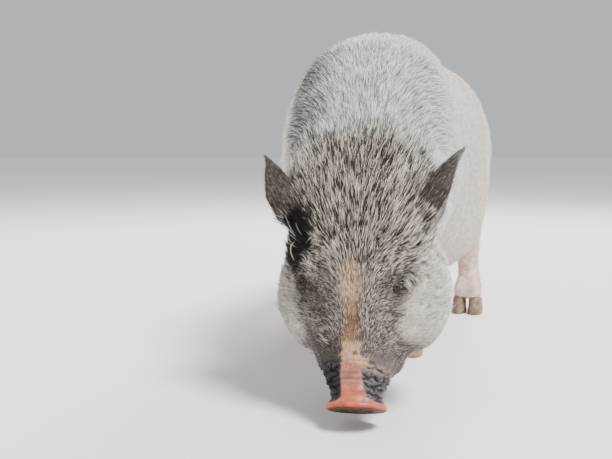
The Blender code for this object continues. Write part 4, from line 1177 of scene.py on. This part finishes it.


# Markings, with some painted light and shade, shared by the skin and the coat


def markings(points, normals, ears):
    """Skin colour, light and dark bristle colours and the share of dark ones, at each point."""
    x, along, above = head_coordinates(points).T
    y, z = points[:, 1], points[:, 2]
    left = x > 0
    broad, small, ragged = wobble(points, 0.045, 11), wobble(points, 0.014, 12), wobble(points, 0.006, 13)
    table = np.tile(np.hstack(FLANK), (len(points), 1))

    def lay(kind, weight):
        table[:] += (np.hstack(kind) - table) * np.clip(weight, 0, 1)[:, None]

    saddle = smooth(0.141 + 1.2 * (z - 0.272) - y + 0.010 * broad + 0.004 * small, -0.010, 0.010)
    lay(SADDLE, saddle * smooth(z + 0.008 * broad, 0.235, 0.268))
    # Painted shade over the saddle on the pig's right flank, the side turned from the light
    shaded_right_flank = smooth(-x + 0.008 * broad, 0.026, 0.066) * smooth(z + 0.012 * broad, 0.215, 0.300)
    lay(SADDLE_SHADED_SIDE, 0.90 * saddle * shaded_right_flank)
    spot = near(points, (-0.100, 0.500, 0.300), 0.150) + 0.30 * broad + 0.14 * small
    lay(SADDLE, 0.60 * smooth(spot, 0.30, 0.62))
    lay(LEG, smooth(-z + 0.010 * small, -0.150, -0.105) * (along > 0.1) * (y > 0.2))
    crown = smooth(0.118 - y + 0.008 * broad + 0.003 * small, 0, 0.058)
    lay(POLL, crown)
    middle = fading(np.abs(x + 0.004) + 0.006 * small, 0.020, 0.052)
    middle *= smooth(along + 0.006 * small, 0.135, 0.160) * fading(along, 0.235, 0.270)
    lay(POLL_DARK, middle * crown)
    lay(FACE, smooth(0.140 - along + 0.006 * small, 0, 0.030) * crown)
    places = (0.05, 0.09, 0.13, 0.16, 0.20)
    edge = np.where(
        left,
        np.interp(along, places, (0.038, 0.045, 0.058, 0.072, 0.078)),
        np.interp(along, places, (0.044, 0.057, 0.066, 0.082, 0.088)),
    )
    pale = np.maximum(
        smooth(np.abs(x) - edge + 0.004 * small + 0.002 * ragged, -0.007, 0.008),
        smooth(-0.006 - above + 0.005 * small, -0.008, 0.008),
    )
    lay(JOWL, pale * smooth(along + 0.003 * small, 0.052, 0.068) * crown)
    # The underside of the face and the lip lobes take the lip colour: partly their own dark skin, partly
    # painted shade
    low_face = smooth(-0.020 - above + 0.003 * small, -0.008, 0.008) * fading(along, 0.05, 0.07) * crown
    lay(LIP, low_face * 0.8)
    for side in SIDES.values():
        root = near(points, head_point(side * 0.060, 0.196, 0.046), 0.026)
        lay(EAR, 0.75 * smooth(root + 0.12 * ragged, 0.15, 0.55))
    dark = ((x + 0.0525) / 0.0185) ** 2 + ((along - 0.1550) / 0.0305) ** 2 + 0.12 * small + 0.12 * ragged
    lay(PATCH, fading(dark, 0.75, 1.10) * (above > 0.0))

    # Bare muzzle, lips and eyelids
    muzzle = fading(along + 0.003 * small, 0.044, 0.060) * (above > -0.02)
    # The muzzle's grey is laid thinly on the pig's right, and a painted shade darkens that half, the side
    # turned from the light
    lay(MUZZLE, np.where(left, 0.85, 0.25) * muzzle)
    shade = smooth(-x + 0.003 * small, 0.006, 0.014) * fading(along + 0.006 * small, 0.046, 0.078)
    lay(MUZZLE_SHADED_SIDE, 0.9 * shade * (above > -0.012))
    low_nose = fading(along + 0.12 * x + 0.003 * small, 0.030, 0.040) * (above > -0.02)
    lay(LEATHER, 0.95 * low_nose)
    lobe = smooth(np.abs(x), 0.0345, 0.0385) * smooth(along, 0.026, 0.034) * fading(along, 0.060, 0.072)
    lay(LIP, 0.9 * lobe)
    for label, side in SIDES.items():
        run, rise, out = eye_frame(points, label).T
        reach = np.hypot(run / 0.0130, (rise + 0.001) / 0.0046) + 0.16 * small
        socket = 0.92 * fading(reach, 0.75, 1.25) * (out > -0.004)
        lay(SOCKET, socket)
        fold = np.abs(np.sin(math.pi * (rise + 0.0007 * small + 0.0003 * ragged) / 0.0024)) ** 1.5
        lay(LID, 0.38 * socket * fold * smooth(np.abs(rise + 0.001), 0.0022, 0.0034))
        lay(FURROW, 0.9 * smooth(furrow(points, side) + 0.10 * small, 0.22, 0.55))

    # The stripe down the face, and the nose
    right_edge, left_edge = band_edges(along)
    off = np.where(left, x - left_edge, -x - right_edge)
    soft = 0.0016 + 0.0052 * smooth(along, 0.060, 0.112)
    torn = 0.0003 + 0.0016 * smooth(along, 0.032, 0.050)
    inside = fading((off + 0.8 * torn * small + torn * ragged) / soft, -1.0, 1.2)
    inside *= (above > 0.004) * (1 - 0.45 * smooth(along, 0.102, 0.132)) * fading(along, 0.126, 0.139)
    lay(BLAZE, inside * 0.92)
    lay(BLAZE_HIGH, inside * 0.92 * smooth(along + 0.004 * small, 0.082, 0.104))
    lay(CREAM, inside * fading(along + 0.003 * small, 0.054, 0.066))
    lay(NOSE, inside * fading(along + 0.0025 * (x > 0.004) + 0.0012 * ragged, 0.0390, 0.0425))
    lay(RIM, inside * fading(along + 0.0012 * small, 0.012, 0.026))
    lay(RIM, fading(along + 0.0006 * small, 0.0042, 0.0062))
    # Painted highlights on the pink of the nose: pale patches towards the pig's left, and a pale line by the
    # crease across it
    pale = smooth(x + 0.0015 * small, 0.004, 0.010) * smooth(ragged + 0.5 * small, -0.5, 0.7) * inside
    lay(NOSE_HIGHLIGHT, 0.75 * pale * fading(along, 0.026, 0.032) * smooth(along, 0.004, 0.007))
    line = fading(np.abs(along - 0.0245 + 0.0009 * small), 0.0003, 0.0020)
    lay(NOSE_HIGHLIGHT, 0.34 * inside * line * fading(x, 0.0, 0.004))
    front = fading(along + 0.0006 * small, 0.0012, 0.0036)
    lay(LOW_RIM, 0.9 * front * (1 - 0.6 * smooth(np.abs(x), 0.010, 0.024)))
    # Painted shade on the front face of the disc, and over its middle where the nostrils are
    lay(SHADED_DISC_FRONT, fading(along + 0.0002 * small, -0.0006, 0.0004))
    disc = np.hypot(x / (SNOUT_HALF_WIDTH - 0.004), above / (SNOUT_HALF_HEIGHT - 0.004))
    lay(SHADED_DISC_FRONT, (along < 0.012) * fading(disc, 0.86, 0.98) * (np.abs(above) < 0.014))
    for across, forth, size in ((0.001, 0.049, 0.0023), (-0.050, 0.100, 0.0018)):
        spot = np.hypot(x - across, along - forth) + 0.0006 * ragged
        lay(SOCKET, 0.85 * fading(spot, 0.7 * size, 1.3 * size) * (above > 0))
    lay(EAR, ears[0])
    lay(EAR_INNER, 0.9 * ears[0] * smooth(facing(ears, normals), -0.2, 0.3))
    return table


def furrow(points, side):
    """The bare groove that runs down from the inner corner of the eye."""
    steps = ((0.0320, 0.079, 0.026), (0.0355, 0.090, 0.028), (0.0395, 0.100, 0.030))
    shift = 0.0030 if side > 0 else 0.0
    path = [head_point(side * (across + shift), along, above) for across, along, above in steps]
    return ridge(points, path, 0.0080 if side > 0 else 0.0066)


def lie_of(points, ears=None):
    """The way the bristles lie, before it is laid flat on the skin."""
    x, along, above = head_coordinates(points).T
    y, z = points[:, 1], points[:, 2]
    sign, one = np.sign(x), np.ones(len(points))
    back, up = np.array(head_direction(0, 1, 0)), np.array(HEAD_UP)

    def head_way(across, forth, rise):
        forth, rise = (forth * one)[:, None] * back, (rise * one)[:, None] * up
        return across[:, None] * np.array((1, 0, 0)) + forth + rise

    spread = np.interp(along, (0.10, 0.16, 0.21), (0.85, 0.66, 0.40))
    beside = smooth(np.abs(x) - 0.10 * above, 0.006, 0.040) * fading(along, 0.105, 0.160)
    under = smooth(-above, 0.030, 0.055)
    way = head_way(spread * (x / 0.045), 1.0, -0.12)
    way = mixed(way, head_way(1.15 * sign, 0.50, -0.45), beside[:, None])
    way = unit(mixed(way, head_way(0.5 * sign, 1.0, -0.2), under[:, None]))
    down = np.sin(np.clip(np.abs(trunk_angle(points)), 0, math.pi)) * 0.55
    leg = smooth(-z, -0.165, -0.115) * (y > 0.22) * (np.abs(x) > 0.015)
    for other, weight in (
        (np.column_stack((0.20 * x / 0.1, one, -down)), smooth(y, 0.085, 0.150)),
        (np.array((0.0, 0.18, -1.0)), leg),
        (np.array((0.05, 0.15, -1.0)), smooth(y, 0.694, 0.702) * (z < 0.34)),
    ):
        way = mixed(way, other, weight[:, None])
    if ears is not None:
        belongs, side, across = ears[:3]
        for each in SIDES.values():
            tip, _, along_ear = (np.array(axis) for axis in ear_axes(each))
            mine = (belongs * (side == each))[:, None]
            way = mixed(way, tip + 0.55 * across[:, None] * along_ear, mine)
    return way


def growth(points, normals, ears):
    """Length, width and number of the bristles, and how far they stand up, at each point."""
    x, along, _ = head_coordinates(points).T
    y, z = points[:, 1], points[:, 2]
    head = fading(y, 0.075, 0.120)
    leg = smooth(-z, -0.150, -0.100) * (y > 0.20)
    places = (0.10, 0.20, 0.30, 0.45, 0.60, 0.68)
    length = np.interp(y, places, (0.0200, 0.0185, 0.0185, 0.0175, 0.0165, 0.0140))
    on_head = np.interp(
        along,
        (0.030, 0.045, 0.060, 0.085, 0.110, 0.135, 0.165, 0.200, 0.240),
        (0.0018, 0.0026, 0.0036, 0.0048, 0.0064, 0.0105, 0.0155, 0.0190, 0.0205),
    )
    on_cheek = 0.0100 * (smooth(np.abs(x), 0.045, 0.070) * smooth(along, 0.07, 0.10))
    length = mixed(length, np.maximum(on_head, on_cheek), head)
    length *= 1 - 0.35 * smooth(np.abs(trunk_angle(points)), 1.4, 2.2) * (1 - head)
    length = mixed(length, np.interp(z, (0.025, 0.05, 0.11), (0.005, 0.0065, 0.011)), leg)
    number = np.interp(y, (0.06, 0.16, 0.30, 0.36, 0.60), (34, 24, 18, 13.0, 12.0))
    on_head = np.interp(along, (0.028, 0.040, 0.060, 0.12, 0.15, 0.20), (0, 60, 130, 132, 104, 74))
    number = mixed(mixed(number, on_head, head), 13, leg)
    rise = np.interp(y, (0.05, 0.15, 0.25, 0.5), (0.40, 0.36, 0.22, 0.18))
    on_head = np.interp(along, (0.04, 0.10, 0.16, 0.22), (0.28, 0.28, 0.34, 0.40))
    rise = mixed(mixed(rise, on_head, head), 0.30, leg)
    for label, side in SIDES.items():
        run, lift, out = eye_frame(points, label).T
        reach = np.hypot((run - 0.0020) / 0.0100, (lift + 0.0025) / 0.0040)
        opened = fading(reach, 0.75, 1.10) * smooth(out, 0.0060, 0.0085)
        number *= (1 - opened) * (1 - 0.55 * smooth(furrow(points, side), 0.25, 0.6))
        away = np.linalg.norm(points - np.array(EYES[label]), axis=1)
        length *= 0.38 + 0.62 * smooth(away, 0.014, 0.028)
    belongs, _, across, up_ear, _ = ears
    inner = smooth(facing(ears, normals), -0.1, 0.3) * (np.abs(across) < 0.9)
    length = mixed(length, 0.0068 - 0.0018 * up_ear, belongs)
    number = mixed(number, 26 * (1 - 0.70 * inner), belongs)
    rise = mixed(rise, 0.24, belongs)
    return length, 0.00022 + 0.0205 * length, number * 1e4, rise


# Coat: joined meshes of tapered three-sided tufts


def tuft_paths(roots, normals, aims, length, rise, sway, inner_rings):
    """The middle lines of tufts that rise off the skin and lie over along it, root first."""
    path = []
    for share in np.linspace(0, 1, inner_rings + 2):
        forth = share * (1 - 0.06 * share)
        lift = rise * (1.45 * share - 0.80 * share ** 2) - TUFT_ROOT * (share == 0)
        point = roots + aims * (length * forth)[:, None] + normals * (length * lift)[:, None]
        path.append(point + sway * (share ** 2))
    return path


def tuft_mesh(name, path, normals, width, tones, patch):
    """One mesh of closed tapered tufts, with the colour of each, and its place on the skin's unwrap."""
    count, inner_rings = len(normals), len(path) - 2
    shares = np.linspace(0, 1, len(path))
    rings = []
    for i, share in enumerate(shares[:-1]):
        ahead = unit(path[i + 1] - path[max(i - 1, 0)])
        across = unit(np.cross(ahead, normals))
        up = np.cross(across, ahead)
        reach = (width * (1 - share ** 1.7) / 2)[:, None]
        rings += [path[i] + across * (reach * a) + up * (reach * b) for a, b in TUFT_CORNERS]
    points = np.stack(rings + [path[-1]], axis=1)
    each = points.shape[1]
    points = placed(points.reshape(-1, 3))

    # The faces of one tuft: the root, three sides in quads, and three triangles to the tip
    sides = [(3 * ring + i, 3 * ring + (i + 1) % 3) for ring in range(inner_rings + 1) for i in range(3)]
    quads = [(low, high, high + 3, low + 3) for low, high in sides[:-3]]
    tris = [(2, 1, 0), *((low, high, each - 1) for low, high in sides[-3:])]
    start = np.arange(count)[:, None] * each
    corner = np.concatenate([start + np.array(face) for face in quads + tris], axis=1).ravel()
    sizes = np.tile([4] * len(quads) + [3] * len(tris), count)

    mesh = bpy.data.meshes.new(name)
    mesh.vertices.add(len(points))
    mesh.vertices.foreach_set("co", points.astype(np.float32).ravel())
    mesh.loops.add(len(corner))
    mesh.loops.foreach_set("vertex_index", corner.astype(np.int32))
    mesh.polygons.add(len(sizes))
    mesh.polygons.foreach_set("loop_start", np.concatenate(([0], np.cumsum(sizes)[:-1])).astype(np.int32))
    mesh.polygons.foreach_set("use_smooth", np.ones(len(sizes), bool))
    mesh.update(calc_edges=True)

    levels = np.concatenate([np.repeat(shares[:-1], 3), [1.0]])
    paint_points(mesh, "tone", np.repeat(tones, each, axis=0))
    paint_points(mesh, "along", np.tile(levels, count))
    local = np.column_stack((np.tile((0.0, 1.0, 0.5), inner_rings + 2)[:each], levels)) * 0.003
    flat = (patch[:, None, :] + local[None, :, :]).reshape(-1, 2)
    mesh.uv_layers.new(name="OFBake").data.foreach_set("uv", flat[corner].astype(np.float32).ravel())
    mesh.materials.append(COAT)
    return linked(name, mesh)


def paint_points(mesh, name, values):
    """Writes a number, a vector or, under the name tone, a colour for each point of a mesh."""
    kind, key = ("FLOAT", "value") if values.ndim == 1 else ("FLOAT_VECTOR", "vector")
    if name == "tone":
        kind, key = "FLOAT_COLOR", "color"
        values = np.column_stack((values, np.ones(len(values))))
    mesh.attributes.new(name, kind, "POINT").data.foreach_set(key, values.astype(np.float32).ravel())


def unwrapped(points, normals, region, ears):
    """Where roots fall on the skin's unwrap: round the body and along it."""
    x, along, above = head_coordinates(points).T
    y, z = points[:, 1], points[:, 2]
    kind = region.split("_")[0]
    if kind == "ear":
        flat = (ears[2] + 2.2 * (facing(ears, normals) > 0), ears[3])
    elif kind == "head":
        flat = (np.arctan2(x, above + 0.01), along)
    elif kind in FEET:
        flat = (np.arctan2(np.abs(x) - FEET[kind][0], y - FEET[kind][1]), z)
    elif kind == "tail":
        flat = (np.arctan2(x, y - 0.71), z)
    else:
        flat = (trunk_angle(points), y)
    flat = np.column_stack(flat)
    low, high = flat.min(0), flat.max(0)
    return 0.002 + 0.99 * (flat - low) / np.maximum(high - low, 1e-6)


def region_of(points, ears):
    """The name of the node that each root grows from, with face for the front of the head."""
    x, y, z = points.T
    names = np.full(len(points), "rump_left", dtype="U20")
    for name, place, way in (
        ("barrel", (0, 0.520, 0.200), (0, 1, 0)), ("shoulders", (0, 0.360, 0.200), (0, 1, 0)),
        ("neck", (0, 0.205, 0.240), (0, 0.975, 0.22)), ("head", (0, 0.105, 0.200), (0, 0.83, 0.56)),
    ):
        names[(points - np.array(place)) @ np.array(way) < 0] = name + "_left"
    along = head_coordinates(points)[:, 1]
    names[(names == "head_left") & (along < FACE_END)] = "face_left"
    names[(z < 0.130) & (np.abs(y - 0.284) < 0.046) & (np.abs(np.abs(x) - 0.05) < 0.036)] = "foreleg_left"
    names[(z < 0.150) & (np.abs(y - 0.598) < 0.056) & (np.abs(np.abs(x) - 0.084) < 0.042)] = "hindleg_left"
    names[(y > 0.699) | ((y > 0.685) & (z > 0.325))] = "tail"
    names[ears[0] > 0.5] = "ear_left"
    right = (x < 0) & (names != "tail")
    names[right] = np.char.replace(names[right], "left", "right")
    return names


# Assembly


def placed(points):
    return bent(points) + SHIFT


def whole_skin():
    """The skin in its straight pose. It also finds the places of the eyes."""
    base = flesh()
    for label, side in SIDES.items():
        EYES[label] = eye_on_skin(base, side) - eye_direction(side) * (EYE_RADIUS + EYE_DEPTH)
    base.modifiers.new("finer", "SUBSURF").levels = 1
    bake(base)
    tail = limb("tail", [metres(row) for row in TAIL_STATIONS], 12)
    skin = joined("skin", [base, snout(), tail, *map(ear, SIDES.values())])
    set_points(skin, swollen(points_of(skin)))
    voxelled(skin, SKIN_VOXEL)
    points = swollen(points_of(skin), undo=True)
    relaxed(skin, points, 6, 0.55 * near(points, head_point(0, 0, 0), 0.06))
    carve(skin, fine_strokes())
    points = points_of(skin)
    creases, bare = wrinkles(points)
    set_points(skin, points + normals_of(skin) * (LEATHER_SWELL * bare - CREASE_DEPTH * creases)[:, None])
    points = opened_nostrils(points_of(skin))
    for label in SIDES:
        points = lidded(points, label)
    set_points(skin, points)
    thinned(skin, SKIN_SHARE)
    return skin


def drawn_in(skin):
    """Makes room for the coat, and ends each leg at the slant of its coronet."""
    points = points_of(skin)
    along = head_coordinates(points)[:, 1]
    depth = np.interp(along, (0.03, 0.07, 0.14, 0.22), (0, 0.0007, 0.0014, COAT_DEPTH))
    depth = np.where(points[:, 1] > 0.12, COAT_DEPTH, depth)
    depth = depth * (1 - ear_places(points)[0]) * smooth(points[:, 2], 0.05, 0.13)
    set_points(skin, points - normals_of(skin) * depth[:, None])
    with edited(skin) as bm:
        for x, y in FEET.values():
            for side in SIDES.values():
                around = Vector((side * x, y, 0.02))
                faces = [
                    f for f in bm.faces
                    if (middle := f.calc_center_median()).z < 0.075 and (middle - around).length < 0.075
                ]
                # Each once, in a fixed order, which a set would not keep
                rest = dict.fromkeys(part for f in faces for part in (*f.verts, *f.edges))
                cut_off(bm, [*rest, *faces], (0, y - HOOF_FORWARD, CORONET), -CORONET_SLANT)


def painted(skin, points, normals, ears):
    """Gives the skin its colour, with painted light and shade on the leather of the nose, its wetness and
    short hair.
    """
    tone = markings(points, normals, ears)[:, :3]
    creases, bare = wrinkles(points)
    # Painted light and shade on the bare leather of the nose: lighter on the pig's left, which faces the
    # light, darker on its right, and darker in the creases
    lit = bare * np.where(points[:, 0] > 0, 2.1, -0.45)
    tone *= ((1 + lit) * (1 - 1.05 * creases)).clip(0.10)[:, None]
    x, along, _ = head_coordinates(points).T
    wet = fading(along, 0.010, 0.020) * (1 - 1.2 * (along < 0.0004))
    wet += np.where(x > 0, 0.25, -0.6) * fading(along, 0.03, 0.06)
    wet -= sum(2.5 * near(points, eye, 0.024) for eye in EYES.values())
    body = points[:, 1] > 0.12
    lie = (np.where(body, trunk_angle(points) * 0.11, x), np.where(body, points[:, 1], along), 0 * x)
    paint_points(skin.data, "tone", tone)
    paint_points(skin.data, "wet", np.clip(wet, -0.7, 1))
    paint_points(skin.data, "furry", smooth(along, 0.035, 0.06) * (1 - 0.6 * ears[0]))
    paint_points(skin.data, "lie", np.column_stack(lie))


def nose_offset():
    """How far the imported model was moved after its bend, from the box of its nose disc."""
    disc = snout()
    low = bent(points_of(disc)).min(0)
    bpy.data.objects.remove(disc)
    return np.array(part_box("snout")[0]) - low


def fitted(obj, slot, *replaced):
    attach(obj, "root")
    if replaced:
        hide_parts(*replaced)


def finished(obj, paint, slot, *replaced):
    """Carries a straight piece onto its place, and gives it its finish and body; the slot is not used."""
    set_points(obj, placed(points_of(obj)))
    obj.data.materials.clear()
    obj.data.materials.append(paint)
    obj.data.polygons.foreach_set("use_smooth", [True] * len(obj.data.polygons))
    obj.data.update()
    fitted(obj, slot, *replaced)
    return obj


def hoof(name, centre_x, foot_y, way):
    """One main hoof: a flat sole, pointed in front, under a slanting coronet."""
    rings = []
    for z, share, shift in HOOF_PROFILE:
        ring = []
        for i, (cos, sin) in enumerate(turns(HOOF_FACETS)):
            wide = 0.0122 if cos * way > 0 else 0.0112
            long = 0.0160 if sin > 0 else 0.0215
            wear = 1 + 0.012 * math.sin(6 * math.pi * i / HOOF_FACETS + 400 * z + centre_x * 90)
            ring.append(Vector((
                centre_x + power_curve(cos, 2.5) * wide * share * wear,
                foot_y - HOOF_FORWARD + power_curve(sin, 1.8) * long * share * wear + shift, z,
            )))
        rings.append(ring)
    horn = loft(name, rings)
    with edited(horn) as bm:
        top = (0, foot_y - HOOF_FORWARD, CORONET + 0.0012)
        cut_off(bm, bm.verts[:] + bm.edges[:] + bm.faces[:], top, CORONET_SLANT)
    return horn


def dewclaw(name, x, y):
    rows = [(x, y + back, z, wide, deep) for back, z, wide, deep in map(metres, DEWCLAW_STATIONS)]
    claw = limb(name, rows, 16)
    claw.modifiers.new("round", "SUBSURF").levels = 1
    return bake(claw)


def claws():
    paint = horn_paint()
    for pair, (x, y) in FEET.items():
        for label, side in SIDES.items():
            for place, way in (("outer", side), ("inner", -side)):
                middle = side * x + way * TOE_HALF_GAP
                main, dew = (f"{kind}_{place}_{pair}_{label}" for kind in ("hoof", "dewclaw"))
                horn = finished(hoof("horn_" + main, middle, y, way), paint, main, main)
                horn.data.set_sharp_from_angle(angle=HOOF_EDGE)
                finished(dewclaw("horn_" + dew, middle, y), paint, dew, dew)


def eyeballs():
    paint = eye_paint()
    for label, side in SIDES.items():
        eye = ball("eyeball_" + label, EYES[label], (EYE_RADIUS,) * 3, eye_axes(side), 64)
        out = (points_of(eye) - np.array(EYES[label])) @ np.array(eye_direction(side)) / EYE_RADIUS
        paint_points(eye.data, "out", np.clip(out, 0, 1))
        finished(eye, paint, "eye_" + label, "eye_" + label)


def curved(root, way, turn, length):
    """A hair that sets off along way and bends by turn over its length."""
    return [root + way * (length * share) + turn * (length * share ** 2) for share in np.linspace(0, 1, 6)]


def stray_mesh(name, hairs):
    """A few long single hairs: each a path, a facing, a width and a colour."""
    path = [np.array(points) for points in zip(*(hair[0] for hair in hairs))]
    sides, width, tones = (np.array([hair[i] for hair in hairs]) for i in (1, 2, 3))
    patch = 0.01 + 0.98 * np.column_stack((np.arange(len(hairs)) / len(hairs), np.full(len(hairs), 0.5)))
    fitted(tuft_mesh(name, path, sides, width, tones, patch), "head")


def lashes(tree, rng):
    for label, side in SIDES.items():
        slit, across, out = np.array(eye_axes(side).to_3x3()).T
        fall = np.array(head_direction(side * 0.50, -0.82, -0.05))
        hairs = []
        for lift, count, longest in LASH_ROWS[label]:
            for i in range(count):
                run = -0.0030 + 0.0165 * (i + rng.random()) / count
                rise = side * (lift + rng.normal(0, 0.0008))
                spot = np.array(EYES[label]) + slit * run + across * rise + out * EYE_RADIUS
                root, normal, _, _ = tree.find_nearest(spot)
                way = out * 0.50 + fall * 0.62 + rng.normal(0, 0.07, 3)
                turn = fall * 0.30 - out * 0.30 + rng.normal(0, 0.06, 3)
                length = longest * rng.uniform(0.60, 1.05)
                path = curved(np.array(root) - 0.0006 * np.array(normal), way, turn, length)
                shade = LASH_LIGHT if rng.random() < LASH_LIGHT_SHARE[label] else LASH_DARK
                hairs.append((path, out, LASH_WIDTHS[label], np.array(shade) * rng.uniform(0.75, 1.1)))
        stray_mesh("lashes_" + label, hairs)


def whiskers(tree, rng):
    """Long single bristles about the brows, cheeks, lips and chin, and the curled hair."""
    hairs = []
    for side in SIDES.values():
        for across, forth, rise, spread, count, length in WHISKERS:
            for _ in range(count):
                place = np.array(head_point(side * across, forth, rise)) + rng.normal(0, spread / 2, 3)
                root, normal = (np.array(found) for found in tree.find_nearest(place)[:2])
                lie = lie_of(root[None, :])[0]
                lie = lie - normal * (lie @ normal)
                lie /= np.linalg.norm(lie)
                way = lie * 0.75 + normal * rng.uniform(0.35, 0.75) + rng.normal(0, 0.12, 3)
                turn = -normal * 0.25 + rng.normal(0, 0.14, 3)
                shade = LASH_LIGHT if rng.random() < 0.75 else LASH_DARK
                path = curved(root - normal * 0.0006, way, turn, length * rng.uniform(0.6, 1.1))
                hairs.append((path, np.cross(way, (0.3, 0.5, 0.8)), WHISKER_WIDTH, np.array(shade)))
    curl = [np.array(head_point(*metres(row))) for row in CURL]
    hairs.append((curl, np.array(HEAD_UP), CURL_WIDTH, np.array(CURL_TONE)))
    stray_mesh("whiskers", hairs)


def coat(skin, points, normals, ears, rng):
    """Sows bristles over the skin, draws them together in locks, and makes one piece for each node."""
    length, width, number, rise = growth(points, normals, ears)
    lie = lie_of(points, ears)
    number *= points[:, 2] > COAT_LOW
    skin.data.calc_loop_triangles()
    tris = rows_of(skin.data.loop_triangles, "vertices", 3, np.int32)
    one, two, three = points[tris].transpose(1, 0, 2)
    area = np.linalg.norm(np.cross(two - one, three - one), axis=1) / 2
    want = area * number[tris].mean(1)
    face = np.repeat(np.arange(len(tris)), np.floor(want + rng.random(len(tris))).astype(int))
    share = rng.random((len(face), 2))
    share[share.sum(1) > 1] = 1 - share[share.sum(1) > 1]
    share = np.column_stack((1 - share.sum(1), share))

    def at_roots(values):
        weight = share if values.ndim == 1 else share[:, :, None]
        return (values[tris[face]] * weight).sum(1)

    roots, normals = at_roots(points), unit(at_roots(normals))
    length, width, rise, lie = (at_roots(values) for values in (length, width, rise, lie))
    ears = [at_roots(values) for values in ears]
    count = len(roots)
    table = markings(roots + rng.normal(0, MARK_SPREAD, roots.shape), normals, ears)
    swirl = wobble(roots, 0.040, 21) * 0.10 + wobble(roots, 0.013, 22) * 0.09
    swirl += rng.normal(0, LIE_SPREAD, count)
    lie = across_facing(lie, normals)
    lie /= np.maximum(np.linalg.norm(lie, axis=1), 1e-9)[:, None]
    aims = lie * np.cos(swirl)[:, None] + np.cross(normals, lie) * np.sin(swirl)[:, None]
    length, width, rise = (
        values * rng.uniform(*spread, count) for values, spread in zip((length, width, rise), SPREADS)
    )
    rise *= 1 + 0.35 * wobble(roots, 0.020, 23)

    # Tips drawn together into small locks, most bristles of one lock alike in colour
    lock_size = np.interp(head_coordinates(roots)[:, 1], (0.118, 0.122), LOCK_SIZES)[:, None]
    shaken = roots + 0.0012 * np.column_stack([wobble(roots, 0.01, seed) for seed in (31, 32, 33)])
    lock = np.unique(np.floor(shaken / lock_size).astype(int), axis=0, return_inverse=True)[1].ravel()
    size = np.bincount(lock)
    middle = np.column_stack([np.bincount(lock, roots[:, i]) / size for i in range(3)])[lock]
    sway = across_facing((middle - roots) * LOCK_PULL * smooth(length, 0.004, 0.012)[:, None], normals)
    sway += rng.normal(0, STRAY, (count, 3)) * length[:, None]
    chance = np.where(rng.random(count) < LOCK_COLOUR, rng.random(len(size))[lock], rng.random(count))
    is_dark = chance < table[:, 9] * (1 + 0.14 * wobble(roots, 0.018, 41))
    tone = np.where(is_dark[:, None], table[:, 6:9], table[:, 3:6])
    tone = np.clip(tone * np.clip(rng.normal(1, TONE_SPREAD, count), 0.55, 1.45)[:, None], 0.003, 0.95)

    names = region_of(roots, ears)
    for region in sorted(set(names)):
        pick = names == region
        inner_rings = {"face": 0, "tail": 2}.get(region.split("_")[0], 1)
        patch = unwrapped(roots[pick], normals[pick], region, [values[pick] for values in ears])
        path = tuft_paths(
            roots[pick], normals[pick], aims[pick], length[pick], rise[pick], sway[pick], inner_rings
        )
        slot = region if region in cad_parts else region.split("_")[0].replace("face", "head")
        fitted(tuft_mesh("coat_" + region, path, normals[pick], width[pick], tone[pick], patch), slot)


def main():
    camera()
    studio()
    skin = whole_skin()
    drawn_in(skin)
    points, normals = points_of(skin), normals_of(skin)
    ears = ear_places(points)
    painted(skin, points, normals, ears)
    rng = np.random.default_rng(5)
    coat(skin, points, normals, ears, rng)
    tree = tree_of(skin)
    lashes(tree, rng)
    whiskers(tree, rng)
    finished(skin, skin_paint(), "barrel", *FLESH_NODES)
    claws()
    eyeballs()


# Filled in by whole_skin: the middle of each eyeball
EYES = {}
SHIFT = nose_offset()
COAT = coat_paint()
main()
